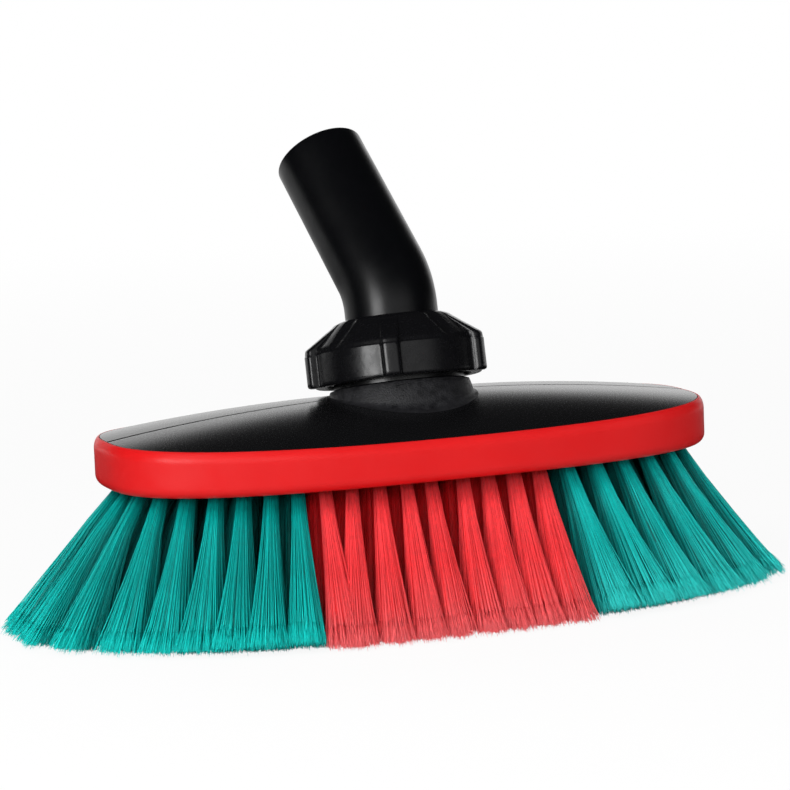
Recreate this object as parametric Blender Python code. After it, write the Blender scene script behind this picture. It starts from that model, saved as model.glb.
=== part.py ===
"""Water-fed vehicle wash brush head with an adjustable neck, in metres, +Z up.

The head is an oval: X runs along it and Y across it. The origin lies on the plane of the
bristle tips, under the middle of the head. Run it with blender --background --python part.py,
or from Blender's text editor.
"""

import math

import bmesh
import bpy
from mathutils import Matrix, Vector
from mathutils.geometry import delaunay_2d_cdt, intersect_point_line

# Head outline, shared by bumper, cover, plate and gasket
head_length = 0.240
head_width = 0.110
outline_power = 2.78
outline_count = 48

# General clearances
gap = 0.0003
overrun = 0.001

# Bumper
bumper_height = 0.016
end_lift = 0.0021
bumper_skirt = 0.0020
bumper_wall = 0.0032
bumper_round = 0.0042
bumper_round_shares = ((0.0, 1.0), (0.08, 0.55), (0.3, 0.22), (0.55, 0.06))
bumper_lip_depth = 0.0070
bumper_lip_thickness = 0.0012
tongue_depth = 0.0068
tongue_thickness = 0.0020

# Base plate with its pocket for the tuft slices, and the water outlets
plate_thickness = 0.0052
slice_thickness = 0.0030
pocket_margin = 0.0020
outlet_radius = 0.0018
red_outlet_shares = (0.258, 0.728)
green_outlet_shares = (0.216, 0.6)

# Bristles: height of the bumper's underside above the tips, and the field of tufts
bristle_drop = 0.053
field_margin = 0.0010
tip_length = 0.316
tip_width = 0.160
tip_power_x = 1.2
tip_power_y = 0.6
end_tip_lift = 0.0022
flat_cut = 0.0005
tuft_pitch = 0.0104
ring_depth = 0.0112
inner_row_count = 6
red_length = 0.0945
zone_skew_share = 0.19
root_along_share = 0.56
root_across_share = 0.56
tip_along_share = 0.93
tip_across_share = 0.93
strand_split_share = 0.07
row_field_share = 0.92
ring_strand_count = 3
row_strand_count = 2
arc_part_count = 60

# Cover
dome_rise = 0.0105
dome_power = 2.08
dome_ring_shares = (1.0, 0.94, 0.84, 0.68, 0.48, 0.26)
ceiling_ring_shares = (1.0, 0.8, 0.55, 0.28)
cover_wall = 0.0030
gasket_width = 0.0030

# Plate screws: each pair's place in the red or green zone, and across the pocket
screw_radius = 0.0015
screw_length = 0.0110
screw_head_rim = 0.0013
screw_head_height = 0.0021
screw_crown_share = 0.8
screw_step_count = 10
screw_recess_depth = 0.0010
boss_wall = 0.0027
red_screw_shares = (0.635, 0.702)
green_screw_shares = (0.294, 0.576)

# Neck: the socket for the handle, the waterway below it, and the spigot in the stub
socket_radius = 0.0135
socket_depth = 0.0400
waterway_step = 0.0020
neck_wall = 0.0044
neck_taper = 0.0003
neck_bend_deg = 30.2
neck_bend_radius = 0.030
neck_bend_rise = 0.0037
neck_reach = 0.0575
neck_turn_deg = 109.9
neck_bend_count = 5
mouth_round = 0.0012
mouth_round_share = 0.3
spigot_end = 0.0095
flange_width = 0.0036
flange_thickness = 0.0054
slip_thickness = 0.0017
o_ring_section = 0.0012
o_ring_start = 0.0040
o_ring_step = 0.0060
o_ring_side_count = 6
seal_thickness = 0.0025

# Slanted stub: distances along its axis start where it crosses the bumper's top
stub_tilt_deg = 12.0
stub_root = 0.0040
stub_height = 0.0135
stub_shoulder = 0.0018
stub_flare = 0.0019
stub_flare_shares = (0.75, 0.5)
stub_edge = 0.0006
collar_wall = 0.0070
thread_length = 0.0130
thread_depth = 0.0024
thread_pitch = 0.0050
thread_base_share = 0.54
thread_crest_share = 0.30
round_count = 32

# Lock nut
nut_wall = 0.0042
nut_lift = 0.0024
nut_skirt_height = 0.0140
nut_cone_height = 0.0098
nut_cone_rim = 0.0040
nut_cone_drop = 0.0012
cone_round_shares = ((0.45, 0.3), (0.85, 0.0))
lug_count = 5
lug_turn_deg = -23.6
lug_height = 0.0036
lug_width = 0.0067
lug_round = 0.0018
lug_shoulder = 0.0015
flute_radius = 0.0036
flute_depth = 0.0011

# Levels, worked up from the bristle tips
bumper_z = bristle_drop
plate_z = bumper_z + bumper_lip_thickness + gap
plate_top = plate_z + plate_thickness
slice_top = plate_z + slice_thickness
pocket_top = slice_top + gap
tongue_z = plate_top + gap
tongue_top = tongue_z + tongue_thickness
rim_z = tongue_top + gap
seat_z = bumper_z + bumper_height

# Places in from the head's outline, and half sizes
pocket_inset = bumper_lip_depth + pocket_margin
field_inset = pocket_inset + field_margin
cover_inset = bumper_skirt + gap
gasket_inset = tongue_depth + gap
rim_inset = gasket_inset + gasket_width + gap
half_length = head_length / 2
half_width = head_width / 2
half_red = red_length / 2

# Radii, worked outwards from the handle's socket
waterway_radius = socket_radius - waterway_step
neck_radius = socket_radius + neck_wall
neck_end_radius = neck_radius - neck_taper
flange_radius = neck_radius + flange_width
bore_radius = neck_radius + gap
thread_core = bore_radius + collar_wall
stub_radius = thread_core + stub_shoulder
thread_outer = thread_core + thread_depth
nut_bore = thread_outer + gap
nut_radius = nut_bore + nut_wall
nut_cone_top_radius = bore_radius + nut_cone_rim
lug_radius = nut_radius + lug_height
screw_head_radius = screw_radius + screw_head_rim
boss_radius = screw_radius + gap + boss_wall

# Places along the stub's axis
collar_top = stub_height + thread_length
flange_bottom = collar_top + gap
flange_top = flange_bottom + flange_thickness
slip_bottom = flange_top + gap
slip_top = slip_bottom + slip_thickness
nut_shoulder = slip_top + gap
nut_bottom = stub_height + nut_lift
nut_skirt_top = nut_bottom + nut_skirt_height
nut_top = nut_skirt_top + nut_cone_height
neck_bend_start = nut_top + neck_bend_rise
thread_base = thread_pitch * thread_base_share
thread_crest = thread_pitch * thread_crest_share


def clear_scene():
    for old in list(bpy.data.objects):
        bpy.data.objects.remove(old, do_unlink=True)


def make_material(name, color, roughness):
    material = bpy.data.materials.new(name)
    material.use_nodes = True
    shader = material.node_tree.nodes["Principled BSDF"]
    shader.inputs["Base Color"].default_value = (*color, 1)
    shader.inputs["Roughness"].default_value = roughness
    shader.inputs["Metallic"].default_value = 0
    return material


def add_object(name, bm, material=None, parent=None, smooth_deg=35.0):
    """Turns a bmesh into an object; without a material it is a cutter or a guide."""
    bmesh.ops.recalc_face_normals(bm, faces=bm.faces)
    mesh = bpy.data.meshes.new(name)
    bm.to_mesh(mesh)
    bm.free()
    mesh.shade_smooth()
    mesh.set_sharp_from_angle(angle=math.radians(smooth_deg))
    obj = bpy.data.objects.new(name, mesh)
    bpy.context.scene.collection.objects.link(obj)
    obj.parent = parent
    if material:
        mesh.materials.append(material)
    else:
        obj.hide_render = True
        obj.display_type = "WIRE"
    return obj


def add_empty(name, location, rotation, parent=None):
    empty = bpy.data.objects.new(name, None)
    bpy.context.scene.collection.objects.link(empty)
    empty.location = location
    empty.rotation_euler = rotation
    empty.parent = parent
    return empty


def combine(obj, tool, operation):
    boolean = obj.modifiers.new(f"{operation.lower()}_{tool.name}", "BOOLEAN")
    boolean.operation = operation
    boolean.solver = "EXACT"
    boolean.object = tool


def oval_point(angle, a, b):
    """A point of a superellipse with half axes a and b."""
    c = math.cos(angle)
    s = math.sin(angle)
    power = 2 / outline_power
    return math.copysign(abs(c) ** power, c) * a, math.copysign(abs(s) ** power, s) * b


def oval_rho(x, y, a, b):
    """How far out a point lies: 1 on the superellipse with half axes a and b, 0 at its middle."""
    return (abs(x / a) ** outline_power + abs(y / b) ** outline_power) ** (1 / outline_power)


def even_angles(a, b, start, end, count):
    """Angles from start to end that divide a superellipse's arc into count even lengths."""
    fine = 40 * count
    angles = [start + (end - start) * i / fine for i in range(fine + 1)]
    points = [Vector(oval_point(angle, a, b)) for angle in angles]
    lengths = [0.0]
    for here, there in zip(points, points[1:]):
        lengths.append(lengths[-1] + (there - here).length)
    found = []
    i = 0
    for k in range(count + 1):
        wanted = lengths[-1] * k / count
        while i < fine - 1 and lengths[i + 1] < wanted:
            i += 1
        step = lengths[i + 1] - lengths[i]
        found.append(angles[i] + (angles[i + 1] - angles[i]) * (wanted - lengths[i]) / step)
    return found


stations = even_angles(half_length, half_width, 0, 2 * math.pi, outline_count)[:-1]


def outline(inset, share=1.0):
    """The head's outline, moved in by inset and then shrunk by share, as points."""
    a = half_length - inset
    b = half_width - inset
    return [tuple(share * v for v in oval_point(angle, a, b)) for angle in stations]


def top_edge_z(x):
    """Height of the line where bumper and cover meet: it rises towards both ends."""
    return seat_z + end_lift * (x / half_length) ** 2


def dome_z(x, y):
    """Height of the cover's outer face."""
    rho = oval_rho(x, y, half_length - cover_inset, half_width - cover_inset)
    return top_edge_z(x) + dome_rise * (1 - min(rho, 1.0) ** dome_power)


def skin(bm, loops, closed):
    """Joins loops of equally many points with faces; a closed skin also joins last to first."""
    rows = [[bm.verts.new(p) for p in loop] for loop in loops]
    pairs = list(zip(rows, rows[1:]))
    if closed:
        pairs.append((rows[-1], rows[0]))
    for low, high in pairs:
        for k in range(len(low)):
            following = (k + 1) % len(low)
            bm.faces.new((low[k], low[following], high[following], high[k]))
    return rows


def fan(bm, row, point):
    tip = bm.verts.new(point)
    for k in range(len(row)):
        bm.faces.new((row[k], row[(k + 1) % len(row)], tip))


def turned(name, profile, material=None, parent=None, steps=round_count, smooth_deg=35.0):
    """Spins a closed profile of (radius, height) points about the Z axis."""
    bm = bmesh.new()
    verts = [bm.verts.new((r, 0, z)) for r, z in profile]
    edges = [bm.edges.new((a, b)) for a, b in zip(verts, verts[1:] + verts[:1])]
    on_axis = [e for e in edges if max(v.co.x for v in e.verts) == 0]
    for edge in on_axis:
        bm.edges.remove(edge)
        edges.remove(edge)
    spun = verts + edges
    bmesh.ops.spin(
        bm, geom=spun, cent=(0, 0, 0), axis=(0, 0, 1), angle=2 * math.pi, steps=steps, use_merge=True
    )
    bmesh.ops.remove_doubles(bm, verts=bm.verts, dist=gap / 100)
    return add_object(name, bm, material, parent, smooth_deg)


def prism(bm, points, low, high):
    """A flat-ended block over an outline; low and high are heights."""
    bottom = [bm.verts.new((x, y, low)) for x, y in points]
    base = bm.faces.new(bottom)
    raised = bmesh.ops.extrude_face_region(bm, geom=[base])["geom"]
    top = [item for item in raised if isinstance(item, bmesh.types.BMVert)]
    bmesh.ops.translate(bm, verts=top, vec=(0, 0, high - low))


def circle(x, y, radius, count):
    angles = [2 * math.pi * (k + 0.5) / count for k in range(count)]
    return [(x + radius * math.cos(a), y + radius * math.sin(a)) for a in angles]


def screw_places():
    """One screw in each quarter of the red zone, and one in each quarter of the green ones."""
    green_length = half_length - pocket_inset - half_red
    b = half_width - pocket_inset
    red = (half_red * red_screw_shares[0], b * red_screw_shares[1])
    green = (half_red + green_length * green_screw_shares[0], b * green_screw_shares[1])
    return [(sx * x, sy * y) for x, y in (green, red) for sy in (-1, 1) for sx in (-1, 1)]


def outlet_places():
    """Water outlets in a row along the middle, clear of the lines between the zones."""
    green_length = half_length - pocket_inset - half_red
    places = [half_red * share for share in red_outlet_shares]
    places += [half_red + green_length * share for share in green_outlet_shares]
    return [(side * x, 0) for x in places for side in (-1, 1)]


def make_bumper(material):
    """A closed band: round outside, with a tongue between plate and cover and a lip below."""
    curve = [(bumper_round * i, bumper_round * d) for i, d in bumper_round_shares]
    profile = [(bumper_skirt, 0, 1)]
    profile += [(i, -d, 1) for i, d in reversed(curve[:-1])]
    profile += [(i, d - bumper_height, 0) for i, d in curve]
    profile += [
        (bumper_lip_depth, -bumper_height, 0),
        (bumper_lip_depth, bumper_lip_thickness - bumper_height, 0),
        (bumper_wall, bumper_lip_thickness - bumper_height, 0),
        (bumper_wall, tongue_z - seat_z, 0),
        (tongue_depth, tongue_z - seat_z, 0),
        (tongue_depth, tongue_top - seat_z, 0),
        (bumper_skirt, tongue_top - seat_z, 0),
    ]
    loops = []
    for inset, drop, lifted in profile:
        lift = [top_edge_z(x) - seat_z if lifted else 0 for x, _ in outline(inset)]
        loops.append([(x, y, seat_z + drop + up) for (x, y), up in zip(outline(inset), lift)])
    bm = bmesh.new()
    skin(bm, loops, closed=True)
    return add_object("bumper", bm, material, smooth_deg=50.0)


def thread_ridge(name, base_radius, crest_radius, start, end, parent):
    """A helical ridge between two heights, as a bar with a four-cornered section."""
    steps = math.floor((end - start - thread_base) / thread_pitch * round_count)
    start += thread_base / 2
    half_base = thread_base / 2
    half_crest = thread_crest / 2
    corners = (
        (base_radius, -half_base),
        (base_radius, half_base),
        (crest_radius, half_crest),
        (crest_radius, -half_crest),
    )
    bm = bmesh.new()
    loops = []
    for k in range(steps + 1):
        angle = 2 * math.pi * k / round_count
        rise = start + thread_pitch * k / round_count
        loops.append([(r * math.cos(angle), r * math.sin(angle), rise + z) for r, z in corners])
    rows = skin(bm, loops, closed=False)
    bm.faces.new(rows[0])
    bm.faces.new(rows[-1])
    return add_object(name, bm, parent=parent)


def make_cover(material, stub_axis):
    """Hollow dome with a rim, bosses for the screws and the slanted threaded stub."""
    bm = bmesh.new()
    loops = [[(x, y, rim_z) for x, y in outline(rim_inset)]]
    loops.append([(x, y, rim_z) for x, y in outline(cover_inset)])
    for share in dome_ring_shares:
        loops.append([(x, y, dome_z(x, y)) for x, y in outline(cover_inset, share)])
    rows = skin(bm, loops, closed=False)
    fan(bm, rows[-1], (0, 0, dome_z(0, 0)))
    inner = [
        [(x, y, dome_z(x, y) - cover_wall) for x, y in outline(rim_inset, share)]
        for share in ceiling_ring_shares
    ]
    inner_rows = skin(bm, inner, closed=False)
    fan(bm, inner_rows[-1], (0, 0, dome_z(0, 0) - cover_wall))
    for k in range(outline_count):
        following = (k + 1) % outline_count
        bm.faces.new((rows[0][k], rows[0][following], inner_rows[0][following], inner_rows[0][k]))
    cover = add_object("cover", bm, material, smooth_deg=30.0)

    bm = bmesh.new()
    for x, y in screw_places():
        prism(bm, circle(x, y, boss_radius, 12), tongue_z, dome_z(x, y) - cover_wall / 2)
    combine(cover, add_object("boss_guide", bm), "UNION")

    bulge, rise = stub_flare_shares
    stub_profile = (
        (0, stub_root),
        (stub_radius + stub_flare, stub_root),
        (stub_radius + stub_flare * bulge, stub_root + (stub_height - stub_root) * rise),
        (stub_radius, stub_height - stub_edge),
        (stub_radius - stub_edge, stub_height),
        (thread_core, stub_height),
        (thread_core, collar_top),
        (0, collar_top),
    )
    combine(cover, turned("stub_guide", stub_profile, parent=stub_axis), "UNION")
    low = stub_height + gap
    top = collar_top - gap
    ridge = thread_ridge("stub_thread_guide", thread_core - gap, thread_outer, low, top, stub_axis)
    combine(cover, ridge, "UNION")
    bore_profile = (
        (0, stub_root - overrun - dome_rise),
        (bore_radius, stub_root - overrun - dome_rise),
        (bore_radius, collar_top + overrun),
        (0, collar_top + overrun),
    )
    combine(cover, turned("stub_bore_cutter", bore_profile, parent=stub_axis), "DIFFERENCE")

    bm = bmesh.new()
    for x, y in screw_places():
        tip = pocket_top - gap + screw_length
        prism(bm, circle(x, y, screw_radius + gap, 8), tongue_z - overrun, tip + gap)
    combine(cover, add_object("pilot_cutter", bm), "DIFFERENCE")
    return cover


def make_plate(material):
    """Closes the head from below; its pocket takes the tuft slices."""
    bm = bmesh.new()
    prism(bm, outline(bumper_wall + gap), plate_z, plate_top)
    plate = add_object("base_plate", bm, material)
    bm = bmesh.new()
    prism(bm, outline(pocket_inset), plate_z - overrun, pocket_top)
    combine(plate, add_object("pocket_cutter", bm), "DIFFERENCE")
    bm = bmesh.new()
    for x, y in screw_places():
        prism(bm, circle(x, y, screw_radius + gap, 8), pocket_top - overrun, plate_top + overrun)
    for x, y in outlet_places():
        prism(bm, circle(x, y, outlet_radius, 8), pocket_top - overrun, plate_top + overrun)
    combine(plate, add_object("plate_hole_cutter", bm), "DIFFERENCE")
    return plate


def make_gasket(material):
    inner = gasket_inset + gasket_width
    corners = ((gasket_inset, tongue_z), (gasket_inset, tongue_top), (inner, tongue_top), (inner, tongue_z))
    bm = bmesh.new()
    skin(bm, [[(x, y, z) for x, y in outline(inset)] for inset, z in corners], closed=True)
    return add_object("cover_gasket", bm, material)


def make_screws(material):
    """Pan-head screws with a hexagonal recess, driven up through the plate into the bosses."""
    head_top = pocket_top - gap
    profile = (
        (0, head_top - screw_head_height),
        (screw_head_radius * screw_crown_share, head_top - screw_head_height),
        (screw_head_radius, head_top - screw_head_height / 2),
        (screw_head_radius, head_top),
        (screw_radius, head_top),
        (screw_radius, head_top + screw_length - screw_radius),
        (0, head_top + screw_length),
    )
    pattern = turned("screw_guide", profile, steps=screw_step_count)
    bm = bmesh.new()
    low = head_top - screw_head_height
    prism(bm, circle(0, 0, screw_head_radius / 2, 6), low - overrun, low + screw_recess_depth)
    recess = add_object("screw_recess_cutter", bm)
    for i, (x, y) in enumerate(screw_places()):
        screw = bpy.data.objects.new(f"plate_screw_{i + 1}", pattern.data.copy())
        bpy.context.scene.collection.objects.link(screw)
        screw.data.materials.append(material)
        screw.location = (x, y, 0)
        cutter = bpy.data.objects.new(f"screw_recess_cutter_{i + 1}", recess.data)
        bpy.context.scene.collection.objects.link(cutter)
        cutter.location = (x, y, 0)
        cutter.hide_render = True
        cutter.display_type = "WIRE"
        combine(screw, cutter, "DIFFERENCE")


def zone_edge(side, y):
    """X of the line between the red tufts and the green ones on one side, at a given Y."""
    return side * half_red + zone_skew_share * y


def tip_of(point):
    """Where a root point's strand ends: the field spreads more the further out it is."""
    x, y = point
    a = half_length - field_inset
    b = half_width - field_inset
    spread_x = tip_length / (2 * a) - 1
    spread_y = tip_width / (2 * b) - 1
    return (
        x * (1 + spread_x * abs(x / a) ** tip_power_x),
        y * (1 + spread_y * abs(y / b) ** tip_power_y),
    )


def border_angle(side, y_side):
    """Where the outer ring's middle line crosses a zone edge, as an oval angle."""
    a = half_length - field_inset - ring_depth / 2
    b = half_width - field_inset - ring_depth / 2
    low, high = (0, math.pi) if y_side > 0 else (-math.pi, 0)
    for _ in range(40):
        middle = (low + high) / 2
        x, y = oval_point(middle, a, b)
        beyond = x > zone_edge(side, y)
        if beyond == (y_side > 0):
            low = middle
        else:
            high = middle
    return (low + high) / 2


def ring_cells():
    """Cells of the outer ring as (zone, corner function), going round in four even arcs."""
    a = half_length - field_inset
    b = half_width - field_inset
    right_front = border_angle(1, -1)
    right_back = border_angle(1, 1)
    left_back = border_angle(-1, 1)
    left_front = border_angle(-1, -1) + 2 * math.pi
    arcs = (
        ("right", right_front, right_back),
        ("centre", right_back, left_back),
        ("left", left_back, left_front),
        ("centre", left_front, right_front + 2 * math.pi),
    )
    middle = (a - ring_depth / 2, b - ring_depth / 2)
    for zone, start, end in arcs:
        fine = even_angles(*middle, start, end, arc_part_count)
        spots = [Vector(oval_point(angle, *middle)) for angle in fine]
        length = sum((there - here).length for here, there in zip(spots, spots[1:]))
        angles = even_angles(*middle, start, end, max(round(length / tuft_pitch), 1))
        for here, there in zip(angles, angles[1:]):

            def corner(along, across, here=here, there=there):
                inset = ring_depth * across
                return oval_point(here + (there - here) * along, a - inset, b - inset)

            yield zone, ring_strand_count, corner


def row_cells():
    """Cells of the straight inner rows, counted outwards from the zone edges."""
    a = half_length - field_inset - ring_depth
    b = half_width - field_inset - ring_depth
    depth = 2 * b * row_field_share / inner_row_count
    for row in range(inner_row_count):
        low = depth * (row - inner_row_count / 2)
        outer = max(abs(low), abs(low + depth)) / b
        end = a * (1 - outer**outline_power) ** (1 / outline_power)
        left = zone_edge(-1, low + depth / 2)
        right = zone_edge(1, low + depth / 2)
        for zone, start, stop in (("left", -end, left), ("centre", left, right), ("right", right, end)):
            count = round((stop - start) / tuft_pitch)
            for k in range(count):
                width = (stop - start) / count

                def corner(along, across, x=start + width * k, y=low, width=width, depth=depth):
                    return x + width * along, y + depth * across

                yield zone, row_strand_count, corner


def strand_shares(strands, along_share, across_share, split_share):
    """Unit rectangles, one for each strand of a tuft, centred in its cell."""
    step = along_share / strands
    for k in range(strands):
        low = 0.5 - along_share / 2 + step * (k + split_share)
        high = 0.5 - along_share / 2 + step * (k + 1 - split_share)
        edge = 0.5 - across_share / 2
        yield ((low, edge), (high, edge), (high, 1 - edge), (low, 1 - edge))


def distance_to(loop, place):
    """How far a place lies from the nearest side of a loop."""
    nearest = []
    for here, there in zip(loop, loop[1:] + loop[:1]):
        share = intersect_point_line(Vector(place), Vector(here), Vector(there))[1]
        point = Vector(here).lerp(Vector(there), min(max(share, 0), 1))
        nearest.append((point - Vector(place)).length)
    return min(nearest)


def zone_strands(wanted):
    """Root and tip corners of every strand of one zone."""
    found = []
    kept_clear = [(place, screw_head_radius + 2 * gap) for place in screw_places()]
    kept_clear += [(place, outlet_radius + gap) for place in outlet_places()]
    for zone, strands, corner in list(ring_cells()) + list(row_cells()):
        if zone != wanted:
            continue
        roots = strand_shares(strands, root_along_share, root_across_share, strand_split_share)
        tips = strand_shares(strands, tip_along_share, tip_across_share, strand_split_share / 2)
        for root, tip in zip(roots, tips):
            foot = [corner(*p) for p in root]
            if all(distance_to(foot, place) > reach for place, reach in kept_clear):
                found.append((foot, [tip_of(corner(*p)) for p in tip]))
    return found


def slice_outline(zone):
    """The tuft slice of one zone: the pocket's outline, cut along the slanted zone edges."""
    a = half_length - pocket_inset - gap
    b = half_width - pocket_inset - gap

    def signed(x, y, side):
        return side * (x - zone_edge(side, y))

    def clip(points, keep):
        kept = []
        for here, there in zip(points, points[1:] + points[:1]):
            inside, following = keep(*here), keep(*there)
            if inside >= 0:
                kept.append(here)
            if inside * following < 0:
                share = inside / (inside - following)
                kept.append(tuple(h + (t - h) * share for h, t in zip(here, there)))
        return kept

    points = [oval_point(angle, a, b) for angle in stations]
    if zone == "centre":
        for side in (-1, 1):
            points = clip(points, lambda x, y, side=side: -signed(x, y, side) - gap / 2)
        return points
    side = -1 if zone == "left" else 1
    return clip(points, lambda x, y: signed(x, y, side) - gap / 2)


def make_bristles(zone, material):
    """Strands fused to their slice of the tuft board, cut flat at the tips."""
    border = slice_outline(zone)
    strands = zone_strands(zone)
    holes = [circle(x, y, screw_head_radius + gap, 8) for x, y in screw_places()]
    holes += [circle(x, y, outlet_radius, 8) for x, y in outlet_places()]

    def inside(x, y):
        if zone == "centre":
            return zone_edge(-1, y) < x < zone_edge(1, y)
        return x < zone_edge(-1, y) if zone == "left" else x > zone_edge(1, y)

    holes = [hole for hole in holes if inside(*(Vector(hole[0]) / 2 + Vector(hole[4]) / 2))]

    def triangulated(loops):
        points = [Vector(p) for loop in loops for p in loop]
        edges = []
        start = 0
        for loop in loops:
            edges += [(start + k, start + (k + 1) % len(loop)) for k in range(len(loop))]
            start += len(loop)
        verts, _, faces, _, _, _ = delaunay_2d_cdt(points, edges, [], 1, gap / 1000)
        opening = loops[1:]
        kept = []
        for face in faces:
            middle = sum((verts[i] for i in face), Vector((0, 0))) / len(face)
            if not any(within(middle, loop) for loop in opening):
                kept.append(face)
        return verts, kept

    def within(point, loop):
        sides = []
        for here, there in zip(loop, loop[1:] + loop[:1]):
            dx, dy = there[0] - here[0], there[1] - here[1]
            sides.append(dx * (point.y - here[1]) - dy * (point.x - here[0]))
        return min(sides) > 0 or max(sides) < 0

    bm = bmesh.new()
    roots = [root for root, _ in strands]
    verts, faces = triangulated([border] + holes + roots)
    low = [bm.verts.new((v.x, v.y, plate_z)) for v in verts]
    for face in faces:
        bm.faces.new([low[i] for i in face])
    verts, faces = triangulated([border] + holes)
    high = [bm.verts.new((v.x, v.y, slice_top)) for v in verts]
    for face in faces:
        bm.faces.new([high[i] for i in face])
    start = 0
    for loop in [border] + holes:
        for k in range(len(loop)):
            here = start + k
            there = start + (k + 1) % len(loop)
            bm.faces.new((low[here], low[there], high[there], high[here]))
        start += len(loop)
    for _, tip in strands:
        reach = sum(abs(x) for x, _ in tip) / (len(tip) * tip_length / 2)
        level = max(end_tip_lift * reach**3 - flat_cut, 0)
        ends = [bm.verts.new((x, y, level)) for x, y in tip]
        bm.faces.new(ends)
        for k in range(4):
            following = (k + 1) % 4
            bm.faces.new((low[start + k], low[start + following], ends[following], ends[k]))
        start += 4
    return add_object(f"bristles_{zone}", bm, material, smooth_deg=20.0)


def make_nut(material, nut_axis):
    """Union nut: threaded skirt, cone with flutes, and lugs that run up the cone as fins."""
    rounding = nut_cone_top_radius - bore_radius
    crown = [
        (nut_cone_top_radius - rounding * i, nut_top - nut_cone_drop * d) for i, d in cone_round_shares
    ]
    profile = (
        (nut_bore, nut_bottom),
        (nut_radius, nut_bottom),
        (nut_radius, nut_skirt_top),
        (nut_cone_top_radius, nut_top - nut_cone_drop),
        *crown,
        (bore_radius, nut_top),
        (bore_radius, nut_shoulder),
        (flange_radius + gap, nut_shoulder),
        (flange_radius + gap, flange_bottom + thread_base / 2 + gap),
        (nut_bore, flange_bottom + gap),
    )
    nut = turned("lock_nut", profile, material, nut_axis, smooth_deg=30.0)

    fin_top = (nut_cone_top_radius, nut_top - nut_cone_drop + gap)
    root = (nut_bore + nut_radius) / 2
    side = (
        (root, nut_bottom),
        (lug_radius, nut_bottom),
        (lug_radius, nut_skirt_top - lug_shoulder),
        fin_top,
        (bore_radius + rounding / 2, nut_top - 2 * nut_cone_drop),
        (root - thread_depth, nut_skirt_top - lug_shoulder),
    )
    bm = bmesh.new()
    for k in range(lug_count):
        flat = [bm.verts.new((r, -lug_width / 2, z)) for r, z in side]
        face = bm.faces.new(flat)
        raised = bmesh.ops.extrude_face_region(bm, geom=[face])["geom"]
        new = [item for item in raised if isinstance(item, bmesh.types.BMVert)]
        bmesh.ops.translate(bm, verts=new, vec=(0, lug_width, 0))
        outer = [
            edge
            for edge in bm.edges
            if edge.verts[0] in flat + new
            and all(abs(v.co.x - lug_radius) < gap and abs(v.co.y) > gap for v in edge.verts)
            and edge.verts[0].co.y * edge.verts[1].co.y > 0
        ]
        bevelled = bmesh.ops.bevel(
            bm, geom=outer, offset=lug_round, segments=2, profile=0.5, affect="EDGES"
        )
        own = {v for v in bevelled["verts"]} | {v for v in flat + new if v.is_valid}
        turn = Matrix.Rotation(2 * math.pi * k / lug_count + math.radians(lug_turn_deg - 90), 3, "Z")
        bmesh.ops.rotate(bm, verts=list(own), cent=(0, 0, 0), matrix=turn)
    combine(nut, add_object("lug_guide", bm, parent=nut_axis), "UNION")

    slope = math.atan2(nut_radius - nut_cone_top_radius, nut_top - nut_cone_drop - nut_skirt_top)
    length = (nut_radius - nut_cone_top_radius) / math.sin(slope)
    lift = flute_radius - flute_depth
    bm = bmesh.new()
    for k in range(lug_count):
        made = bmesh.ops.create_uvsphere(bm, u_segments=12, v_segments=6, radius=flute_radius)["verts"]
        upper = [v for v in made if v.co.z > gap]
        bmesh.ops.translate(bm, verts=upper, vec=(0, 0, length + 2 * flute_radius))
        lean = Matrix.Rotation(-slope, 4, "Y")
        reach = nut_radius + lift * math.cos(slope)
        place = Matrix.Translation((reach, 0, nut_skirt_top + lift * math.sin(slope)))
        turn = 2 * math.pi * (k + 0.5) / lug_count + math.radians(lug_turn_deg - 90)
        spin = Matrix.Rotation(turn, 4, "Z")
        bmesh.ops.transform(bm, matrix=spin @ place @ lean, verts=made)
    combine(nut, add_object("flute_cutter", bm, parent=nut_axis), "DIFFERENCE")

    low = stub_height + gap + thread_pitch / 2
    ridge = thread_ridge("nut_thread_guide", nut_bore + gap, thread_core + gap, low, collar_top, nut_axis)
    combine(nut, ridge, "UNION")
    return nut


def neck_loop(radius, station, steps=round_count):
    """A ring of points round the neck's centre line, which is straight, bent, then straight."""
    bend = math.radians(neck_bend_deg)
    bend_length = neck_bend_radius * bend
    beyond = station - neck_bend_start
    angle = min(max(beyond / neck_bend_radius, 0), bend)
    straight = beyond - bend_length if beyond > bend_length else min(beyond, 0)
    heading = Vector((math.sin(angle), 0, math.cos(angle)))
    side = Vector((math.cos(angle), 0, -math.sin(angle)))
    start = Vector((neck_bend_radius, 0, neck_bend_start))
    centre = start - side * neck_bend_radius + heading * straight
    points = []
    for k in range(steps):
        turn = 2 * math.pi * k / steps
        points.append(centre + radius * (math.cos(turn) * side + math.sin(turn) * Vector((0, 1, 0))))
    return points


def o_ring_places():
    """Heights of the two O-rings on the spigot, worked up from its end."""
    return [spigot_end + o_ring_start + k * o_ring_step for k in range(2)]


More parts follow.
